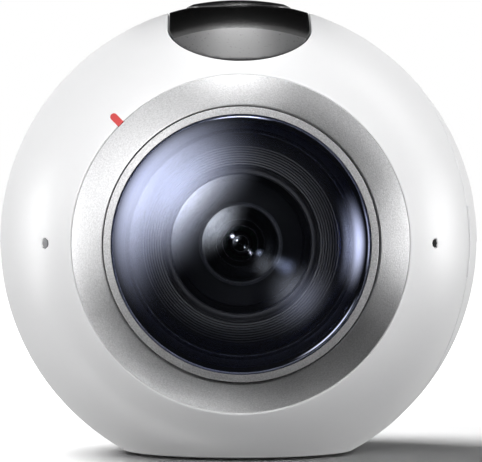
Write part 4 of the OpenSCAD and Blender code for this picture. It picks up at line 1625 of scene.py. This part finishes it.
    def glass(self, shop: Workshop) -> None:
        """Builds the front glass and the second lens.

        Args:
            shop: places the pieces.
        """
        hollow_r = self.dome_r - self.dome_t
        hollow_edge = math.sqrt(hollow_r ** 2 - (self.seat_u - self.dome_mid) ** 2)
        dome = arc(self.dome_r, self.dome_mid, 0.0, self.edge_r, self.dome_steps)
        dome += [(self.edge_r, self.seat_u)]
        dome += list(reversed(arc(hollow_r, self.dome_mid, 0.0, hollow_edge, self.dome_steps)))
        self.turn(shop, "dome_glass", dome, "lens_glass", "dome_lens", self.coating("dome"))
        mid = self.shelf_u + self.inner_rise - self.inner_dome_r
        low = self.inner_seat_u + self.seat
        second = arc(self.inner_dome_r, mid, 0.0, self.inner_r, self.second_steps)
        second += [(self.inner_r, self.shelf_u - self.seat), (self.inner_rim_r, self.shelf_u - self.seat),
                   (self.inner_rim_r, low), (0.0, low)]
        self.turn(shop, "second_glass", second, "lens_glass", "inner_lens", self.coating("second"))
        self.core(shop, low + self.core_seat)

    def core(self, shop: Workshop, low: float) -> None:
        """Builds the faces inside the second lens: its core, the core's rim and the small middle lens.

        Args:
            shop: places the pieces.
            low: the height of the core's back.
        """
        mid = self.shelf_u + self.core_rise - self.core_dome_r
        face = arc(self.core_dome_r, mid, 0.0, self.core_r, self.core_steps)
        face += [(self.core_r, low), (0.0, low)]
        self.turn(shop, "lens_core", face, "lens_glass", "", self.coating("core"))
        foot = mid + rise(self.core_dome_r, self.core_r) - self.rim_depth
        rim = band(self.core_r - self.core_rim, self.core_r - self.rim_gap, foot, foot + self.rim_t)
        self.turn(shop, "core_rim", rounded(rim, self.rim_round), "black_optics", "", "rim_grey")
        half = self.line_w / 2.0
        start = low + self.line_lift
        for name, radius in (("stop_line", self.stop_r), ("guide_line", self.stop_r + self.guide_gap)):
            line = band(radius - half, radius + half, start, start + self.line_w)
            self.turn(shop, name, rounded(line, self.line_round), "black_optics", "", "bead_metal")
        base = self.shelf_u - self.pupil_dome_r
        back = low + self.pupil_lift
        pupil = arc(self.pupil_dome_r, base, 0.0, self.pupil_r, self.pupil_steps)
        pupil += [(self.pupil_r, back), (0.0, back)]
        self.turn(shop, "pupil_glass", pupil, "lens_glass", "", self.coating("core"))

    def baffle(self, shop: Workshop) -> None:
        """Builds the light baffle, its ribs and the retaining ring.

        Args:
            shop: places the pieces.
        """
        top = self.seat_u - self.dome_edge_t / 2.0
        low = self.shelf_u + self.seat
        outer = self.cup_bore_r - BALL.fit
        cone = [(self.rib_inner_r, low), (outer, low), (outer, top), (self.rib_outer_r, top),
                (self.rib_inner_r, top - self.rib_fall)]
        self.turn(shop, "light_baffle", rounded(cone, self.cone_round), "black_optics", "lens_baffle")
        self.ribs(shop, top)
        bore = self.inner_r + BALL.fit
        lip_r = (bore + self.retainer_r) / 2.0
        high = low + self.retainer_h
        groove_r = self.retainer_r - self.groove_wall
        groove_u = high - self.groove_h
        ring = [(bore, low), (self.retainer_r, low), (self.retainer_r, high), (groove_r, high),
                (groove_r, groove_u), (lip_r, groove_u), (lip_r, high),
                (bore + self.retainer_bevel, high), (bore, high - self.retainer_bevel)]
        outline = rounded(ring, self.black_round)
        self.turn(shop, "retaining_ring", outline, "black_optics", "lens_retainer", "ring_black")

    def ribs(self, shop: Workshop, top: float) -> None:
        """Builds the baffle's ribs with Geometry Nodes, as rings that step down towards the middle.

        Args:
            shop: places the piece.
            top: the height of the baffle's top.
        """
        shape = NodeShape("ribs")
        count = shape.ask("Ribs", "Int", self.rib_count)
        outer = shape.ask("Outer radius", "Float", self.rib_outer_r)
        band_w = shape.ask("Band", "Float", self.rib_band)
        fall = shape.ask("Fall", "Float", self.rib_fall)
        thick = shape.ask("Rib radius", "Float", self.rib_r)
        share = (shape.index() + 0.5) / count
        reach = outer - share * band_w
        rows = shape.copies(shape.ring(self.rib_steps, 1.0), count, shape.vector(z=share * fall * -1.0),
                            shape.vector(reach, reach, 1.0))
        solid = shape.sweep(rows, shape.ring(self.rib_sides, thick), False)
        mesh = shape.run(solid, shop.made["black_optics"])
        mesh.transform(self.placed @ Matrix.Translation((0.0, 0.0, top)))
        name = f"{self.word}_baffle_ribs"
        shop.place(name, mesh, "black_optics", Body.CAMERA, look="rib_black", sharp=80.0)

    def inside(self, shop: Workshop) -> None:
        """Builds the bead under the front glass's edge and the aperture stop.

        Args:
            shop: places the pieces.
        """
        bead_r = self.cup_bore_r + self.bead_out
        half = self.bead_w / 2.0
        high = self.seat_u - self.bead_gap
        bead = band(bead_r - half, bead_r + half, high - self.bead_h, high)
        self.turn(shop, "glass_seat_bead", rounded(bead, self.bead_round), "black_optics", "", "bead_metal")
        top = self.inner_seat_u - self.seat
        step = self.stop_t / 3.0
        wide = self.inner_rim_r + BALL.fit / 2.0 - self.inner_shelf - BALL.fit
        low = top - self.stop_t
        stop = [(self.stop_r, low), (wide, low), (wide, top), (self.stop_ring_r, top),
                (self.stop_ring_r - step, top - step), (self.stop_r + 2.0 * step, top - step),
                (self.stop_r, top - 2.0 * step)]
        outline = rounded(stop, self.black_round)
        self.turn(shop, "stop_disc", outline, "black_optics", "aperture_stop", "ring_black")


# Base and inside


@dataclass
class Base:
    """The rubber foot and the thread in the tripod socket."""

    foot_r: float = 9.6
    foot_w: float = 2.4
    foot_t: float = 1.1
    foot_round: float = 0.18
    thread_r: float = 3.175
    thread_l: float = 5.5
    pitch: float = 1.27
    thread_depth: float = 0.34
    thread_bite: float = 0.45
    thread_steps: int = 72
    thread_sides: int = 6

    def build(self, shop: Workshop) -> None:
        """Builds the foot and the thread.

        Args:
            shop: places the pieces.
        """
        half = self.foot_w / 2.0
        foot = rounded(band(self.foot_r - half, self.foot_r + half, 0.0, self.foot_t), self.foot_round)
        mesh = turned(foot, shop.made["seal_rubber"], Matrix.Identity(4))
        shop.place("rubber_foot_ring", mesh, "seal_rubber", Body.CAMERA, ["rubber_foot"])
        self.thread(shop)

    def thread(self, shop: Workshop) -> None:
        """Builds the tripod thread with Geometry Nodes, as a ridge along a rising spiral.

        Args:
            shop: places the piece.
        """
        length = self.thread_l - 2.0 * self.thread_depth
        shape = NodeShape("thread")
        turns = shape.ask("Turns", "Float", length / self.pitch)
        radius = shape.ask("Radius", "Float", self.thread_r - self.thread_depth * self.thread_bite)
        depth = shape.ask("Depth", "Float", self.thread_depth)
        path = shape.node("GeometryNodeCurveSpiral", {
            "Resolution": self.thread_steps, "Rotations": turns, "Height": length, "Start Radius": radius,
            "End Radius": radius})
        mesh = shape.run(shape.sweep(path, shape.ring(self.thread_sides, depth)), shop.made["steel"])
        mesh.transform(Matrix.Translation((0.0, 0.0, BALL.foot_rise + self.thread_depth)))
        shop.place("tripod_thread", mesh, "steel", Body.CAMERA, sharp=70.0)


@dataclass
class KeptNodes:
    """The CAD pieces that are shown as they are, dressed by their slots."""

    bevel: float = 0.12
    bevel_steps: int = 2
    bevel_angle: float = 50.0
    bevelled: tuple[str, ...] = (
        "battery", "battery_bay", "memory_card", "card_socket", "charging_socket", "door_gasket",
        "middle_frame", "main_board", "heat_spreader", "display_module", "display_bracket", "base_plate",
        "top_board", "key_board")

    def dress(self, shop: Workshop) -> None:
        """Gives every CAD node its slot's finish, and small bevels where it has plain edges.

        Args:
            shop: holds the finishes.
        """
        slots = {part["node"]: part["material_slot"] for part in frame["record"]["subparts"]}
        for name, piece in frame["nodes"].items():
            piece.data.materials.clear()
            piece.data.materials.append(shop.made[slots[name]])
            if name in self.bevelled:
                step = piece.modifiers.new("bevel", "BEVEL")
                step.width = self.bevel * MM
                step.segments = self.bevel_steps
                step.limit_method = "ANGLE"
                step.angle_limit = math.radians(self.bevel_angle)
        LOG.info("dressed %d CAD nodes", len(slots))


# Studio


def direction(azimuth: float, elevation: float) -> Vector:
    """Gives the direction from the object towards a viewer.

    Args:
        azimuth: the angle from the front towards the right, in degrees.
        elevation: the angle over the floor, in degrees.

    Returns:
        The direction.
    """
    a = math.radians(azimuth)
    e = math.radians(elevation)
    return Vector((math.sin(a) * math.cos(e), -math.cos(a) * math.cos(e), math.sin(e)))


def aim(name: str, data: ID, back: Vector, place: Vector) -> Object:
    """Puts a light or a camera in its place and turns it.

    Args:
        name: the object's name.
        data: the light or the camera.
        back: the direction that its back is turned to.
        place: where it stands, in metres.

    Returns:
        The object.
    """
    made = make_object(name, data)
    made.location = place
    made.rotation_mode = "QUATERNION"
    made.rotation_quaternion = (-back).to_track_quat("-Z", "Y")
    return made


@dataclass(frozen=True)
class Lamp:
    """A soft rectangular light that points at the ball's middle and isn't seen in reflections."""

    name: str
    azimuth: float
    elevation: float
    distance: float
    width: float
    height: float
    power: float
    for_floor: bool = False

    def build(self, floor: Object) -> None:
        """Adds the light.

        Args:
            floor: the floor, which has a light of its own for the object's shadow.
        """
        back = direction(self.azimuth, self.elevation)
        data = bpy.data.lights.new(self.name, "AREA")
        data.shape = "RECTANGLE"
        data.size = self.width
        data.size_y = self.height
        data.energy = self.power
        lamp = aim(self.name, data, back, BALL.middle * MM + back * self.distance)
        lamp.visible_glossy = False
        lamp.visible_camera = False
        lit = bpy.data.collections.new(self.name)
        lit.objects.link(floor)
        lit.collection_objects[0].light_linking.link_state = "INCLUDE" if self.for_floor else "EXCLUDE"
        lamp.light_linking.receiver_collection = lit


def show_in_reflections(thing: Object) -> None:
    """Makes a studio piece that only reflections show.

    Args:
        thing: the card or the hood.
    """
    thing.visible_camera = False
    thing.visible_diffuse = False
    thing.visible_shadow = False
    thing.visible_transmission = False


@dataclass(frozen=True)
class Card:
    """A curved card with soft edges, bright or black, that is seen in reflections only.

    Its place is given by the hour on a clock face round the front lens, and by the angle from the lens axis.
    """

    name: str
    hour: float
    polar: float
    hours: float
    polars: float
    strength: float
    colour: Colour = (1.0, 1.0, 1.0)
    soft: float = 0.7
    distance: float = 0.5
    columns: int = 24
    rows: int = 8

    def point(self, across: float, along: float) -> Vector:
        """Gives a point of the card.

        Args:
            across: share of the card's width.
            along: share of its height.

        Returns:
            The point, in metres.
        """
        turn = math.radians(30.0 * (self.hour + (across - 0.5) * self.hours))
        tilt = math.radians(self.polar + (along - 0.5) * self.polars)
        out = Vector((math.sin(turn) * math.sin(tilt), -math.cos(tilt), math.cos(turn) * math.sin(tilt)))
        return BALL.middle * MM + out * self.distance

    def build(self) -> None:
        """Adds the card."""
        shape = bmesh.new()
        spread = shape.loops.layers.uv.new("card")
        shares = [(i / self.columns, j / self.rows)
                  for i in range(self.columns + 1) for j in range(self.rows + 1)]
        grid = [(shape.verts.new(self.point(*share)), share) for share in shares]
        for i in range(self.columns):
            for j in range(self.rows):
                start = i * (self.rows + 1) + j
                corners = [grid[k] for k in (start, start + 1, start + self.rows + 2, start + self.rows + 1)]
                face = shape.faces.new([vert for vert, _ in corners])
                for loop, (_, share) in zip(face.loops, corners):
                    loop[spread].uv = share
        card = make_object(self.name, mesh_of(shape, self.name))
        card.data.materials.append(Glow(self.name, self.colour, self.strength, self.soft).make())
        show_in_reflections(card)


@dataclass(frozen=True)
class Hood:
    """A black hood round the camera's place, which keeps the front lens's reflections dark."""

    polar: float
    radius: float = 0.8
    steps: int = 64

    def build(self) -> None:
        """Adds the hood, which is seen in reflections only."""
        shape = bmesh.new()
        bmesh.ops.create_uvsphere(shape, u_segments=self.steps, v_segments=self.steps, radius=self.radius)
        low = self.radius * math.cos(math.radians(self.polar))
        bmesh.ops.bisect_plane(shape, geom=shape.verts[:] + shape.edges[:] + shape.faces[:],
                               plane_co=(0.0, 0.0, low), plane_no=(0.0, 0.0, 1.0), clear_inner=True)
        hood = make_object("studio_hood", mesh_of(shape, "studio_hood"))
        hood.matrix_world = Matrix.Translation(BALL.middle * MM) @ Matrix.Rotation(math.pi / 2.0, 4, "X")
        hood.data.materials.append(Moulded("hood_black", (0.01, 0.01, 0.01), 0.9, specular=0.0).make())
        show_in_reflections(hood)


@dataclass
class Studio:
    """The pale floor, the white surroundings, the lights and the camera at the photograph's angle.

    A lamp is given by its azimuth, elevation, distance, width, height and power, and a card by its hour,
    its angle from the lens axis, its extent in hours and in that angle, and its strength.
    """

    yaw: float = -0.75
    elevation: float = 0.83
    distance: float = 450.0
    scale: float = 8.003
    image_w: float = 482.0
    image_h: float = 462.0
    ball_x: float = 238.5
    ball_y: float = 240.7
    sensor: float = 36.0
    clip_start: float = 0.01
    clip_end: float = 10.0
    floor_half: float = 1.5
    floor_drop: float = 0.00003
    floor_look: PaleFloor = PaleFloor("floor_white", 0.12, white_x=0.025, white_start=0.045, white_end=0.1)
    surround: float = 0.08
    hood: Hood = Hood(104.0)
    lamps: tuple[Lamp, ...] = (
        Lamp("top_box", -30.0, 76.0, 0.6, 0.5, 0.4, 0.88),
        Lamp("left_box", -52.0, 9.0, 0.6, 0.4, 0.4, 2.85),
        Lamp("right_box", 46.0, 8.0, 0.6, 0.3, 0.35, 3.0),
        Lamp("front_fill", -12.0, 30.0, 0.9, 0.6, 0.5, 1.62),
        Lamp("back_fill", 180.0, 28.0, 0.9, 0.6, 0.5, 3.6),
        Lamp("floor_box", -118.0, 52.0, 0.7, 0.5, 0.5, 7.5, True),
    )
    cards: tuple[Card, ...] = (
        Card("card_upper_left", 10.3, 54.0, 5.2, 64.0, 4.2, soft=1.0),
        Card("card_left_edge", 10.0, 83.0, 5.2, 42.0, 1.9, soft=1.0, distance=0.51),
        Card("card_left", 9.0, 110.0, 2.0, 22.0, 8.0, distance=0.52),
        Card("card_right", 2.9, 110.0, 1.4, 24.0, 9.0),
        Card("card_right_band", 3.0, 88.0, 2.0, 18.0, 1.8, soft=1.0, distance=0.51),
        Card("card_upper_right", 1.6, 110.0, 2.4, 14.0, 5.0, distance=0.52),
        Card("card_low", 6.9, 109.0, 3.8, 12.0, 7.0, distance=0.52),
        Card("card_top", 12.0, 103.0, 1.2, 12.0, 13.0, distance=0.53),
        Card("card_slope", 12.0, 116.0, 0.8, 10.0, 24.0),
        Card("card_arc", 4.5, 98.0, 1.6, 2.0, 1.4, distance=0.4),
        Card("card_low_right", 4.4, 54.0, 2.2, 50.0, 0.5, soft=1.0),
        Card("card_spot_low", 3.9, 35.0, 1.1, 14.0, 2.5, (0.75, 0.82, 1.0), soft=1.0, distance=0.45),
        Card("card_catch_upper", 10.4, 8.0, 1.2, 3.5, 26.0, soft=1.0),
        Card("card_catch_lower", 4.4, 9.0, 0.8, 3.0, 16.0, soft=1.0),
        Card("flag_low_right", 4.2, 114.0, 1.4, 26.0, 0.0, soft=0.35, distance=0.45),
        Card("flag_top", 12.0, 147.0, 1.8, 46.0, 0.0, soft=0.1, distance=0.45),
    )

    def build(self) -> None:
        """Builds the whole studio."""
        ground = self.floor()
        self.world()
        for lamp in self.lamps:
            lamp.build(ground)
        for card in self.cards:
            card.build()
        self.hood.build()
        self.camera()
        bpy.context.scene.view_settings.view_transform = "Standard"

    def floor(self) -> Object:
        """Builds the floor, which shows the object's shadow.

        Returns:
            The floor.
        """
        shape = bmesh.new()
        bmesh.ops.create_grid(shape, x_segments=1, y_segments=1, size=self.floor_half)
        bmesh.ops.translate(shape, verts=shape.verts, vec=(0.0, 0.0, -self.floor_drop))
        ground = make_object("studio_floor", mesh_of(shape, "studio_floor"))
        ground.data.materials.append(self.floor_look.make())
        ground.visible_glossy = False
        return ground

    def world(self) -> None:
        """Builds the surroundings: white to the camera, in reflections and through glass, dimmer as light."""
        world = bpy.data.worlds.new("studio_world")
        bpy.context.scene.world = world
        world.use_nodes = True
        graph = Graph(world.node_tree)
        seen, glossy, passed = (graph.node("ShaderNodeLightPath", output=f"Is {ray} Ray")
                                for ray in ("Camera", "Glossy", "Transmission"))
        white = graph.math("MAXIMUM", graph.math("MAXIMUM", seen, glossy), passed)
        strength = white * (1.0 - self.surround) + self.surround
        graph.end(graph.node("ShaderNodeBackground", {"Color": (1.0, 1.0, 1.0), "Strength": strength}),
                  "ShaderNodeOutputWorld")

    def camera(self) -> None:
        """Puts the camera where the photograph was taken from."""
        back = direction(self.yaw, self.elevation)
        turn = (-back).to_track_quat("-Z", "Y")
        right = turn @ Vector((1.0, 0.0, 0.0))
        up = turn @ Vector((0.0, 1.0, 0.0))
        shift = right * (self.image_w / 2.0 - self.ball_x) - up * (self.image_h / 2.0 - self.ball_y)
        data = bpy.data.cameras.new("photo_camera")
        data.sensor_fit = "HORIZONTAL"
        data.sensor_width = self.sensor
        data.lens = self.sensor * self.scale * self.distance / self.image_w
        data.clip_start = self.clip_start
        data.clip_end = self.clip_end
        place = (BALL.middle + shift / self.scale + back * self.distance) * MM
        eye = aim("photo_camera", data, back, place)
        bpy.context.scene.camera = eye


def finishes() -> dict[str, Finish]:
    """Gives the finish of every slot and of the variants that single pieces use.

    Returns:
        The finishes by name.
    """
    panel_edge = TopPanel().edge_y * MM
    blue, pale_blue = (0.58, 0.64, 0.95), (0.74, 0.79, 1.0)
    grey, pale_grey = (0.74, 0.77, 0.86), (0.9, 0.91, 0.96)
    sea, pale_sea = (0.8, 0.84, 0.86), (0.9, 0.9, 0.92)
    # the slope colour is black with painted sheen, lighter to stand in for reflected light
    black, slope_black_painted_sheen = (0.004, 0.004, 0.004), (0.05, 0.05, 0.052)
    kinds = (
        Moulded("white_shell", (0.86, 0.86, 0.87), 0.38, 3000.0, 0.000003, coat=0.04, tone=0.02),
        Grained("silver_metal", (0.74, 0.74, 0.75), 0.42, 5200.0, 0.00003, contrast=0.3),
        Grained("bezel_metal", (0.72, 0.72, 0.73), 0.5, 5200.0, 0.00004, contrast=0.4, metal=0.7),
        CoatedGlass("lens_glass", blue, pale_blue, 0.03, 0.3),
        CoatedGlass("front_dome_glass", blue, pale_blue, 0.03, 0.85),
        CoatedGlass("front_second_glass", grey, pale_grey, 0.05, 0.5, gain=16.0),
        CoatedGlass("front_core_glass", sea, pale_sea, 0.22, 0.7, gain=24.0),
        # the rear glasses carry painted shade, a dark matte share over their clear part
        CoatedGlass("rear_dome_glass", blue, pale_blue, 0.015, 0.3, gain=0.9, painted_shade=0.45),
        CoatedGlass("rear_second_glass", blue, pale_blue, 0.015, 0.2, gain=1.0, painted_shade=0.15),
        CoatedGlass("rear_core_glass", sea, pale_sea, 0.03, 0.3, gain=3.0),
        Moulded("rim_grey", (0.3, 0.3, 0.31), 0.3, 4200.0, 0.000006),
        Moulded("black_optics", (0.018, 0.018, 0.02), 0.5, 4200.0, 0.000008),
        Moulded("rib_black", (0.18, 0.18, 0.185), 0.2, 6000.0, 0.00002),
        Moulded("ring_black", (0.06, 0.06, 0.064), 0.3, 4200.0, 0.000006),
        Grained("bead_metal", (0.5, 0.5, 0.53), 0.25),
        Moulded("black_gloss", (0.01, 0.01, 0.011), 0.12, 2000.0, 0.000001),
        Moulded("button_gloss", (0.008, 0.008, 0.009), 0.2, 2600.0, 0.000002),
        SlopedGloss("sloped_gloss", black, slope_black_painted_sheen, panel_edge, 0.16, 0.3),
        Moulded("black_plastic", (0.02, 0.02, 0.022), 0.45),
        Moulded("grey_plastic", (0.08, 0.08, 0.09), 0.5, 2200.0, 0.00001),
        Moulded("red_mark", (0.62, 0.05, 0.05), 0.4, 3000.0, 0.000003),
        Moulded("light_window", (0.17, 0.17, 0.18), 0.45, 3000.0, 0.000002),
        Board("circuit_board", (0.02, 0.13, 0.06), (0.05, 0.28, 0.12)),
        Grained("steel", (0.58, 0.58, 0.58), 0.3),
        Grained("spreader_metal", (0.7, 0.7, 0.72), 0.4),
        Grained("gold_contacts", (0.86, 0.63, 0.24), 0.25, 3000.0, 0.000006),
        Moulded("battery_wrap", (0.045, 0.045, 0.05), 0.38, 1800.0, 0.000006),
        Moulded("seal_rubber", (0.025, 0.025, 0.027), 0.7, 2200.0, 0.000012),
    )
    return {kind.name: kind for kind in kinds}


def main() -> None:
    """Builds every assembly in order, then the studio."""
    logging.basicConfig(level=logging.INFO, format="%(name)s %(message)s")
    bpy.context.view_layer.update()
    shop = Workshop(finishes())
    door, panel, keys, dots = Door(), TopPanel(), SideKeys(), Dots()
    KeptNodes().dress(shop)
    Shells(door, panel, keys, dots).build(shop)
    door.build(shop)
    panel.build(shop)
    keys.build(shop)
    dots.build(shop)
    for side in Side:
        LensUnit(side).build(shop)
    Base().build(shop)
    Studio().build()


if __name__ == "__main__":
    main()
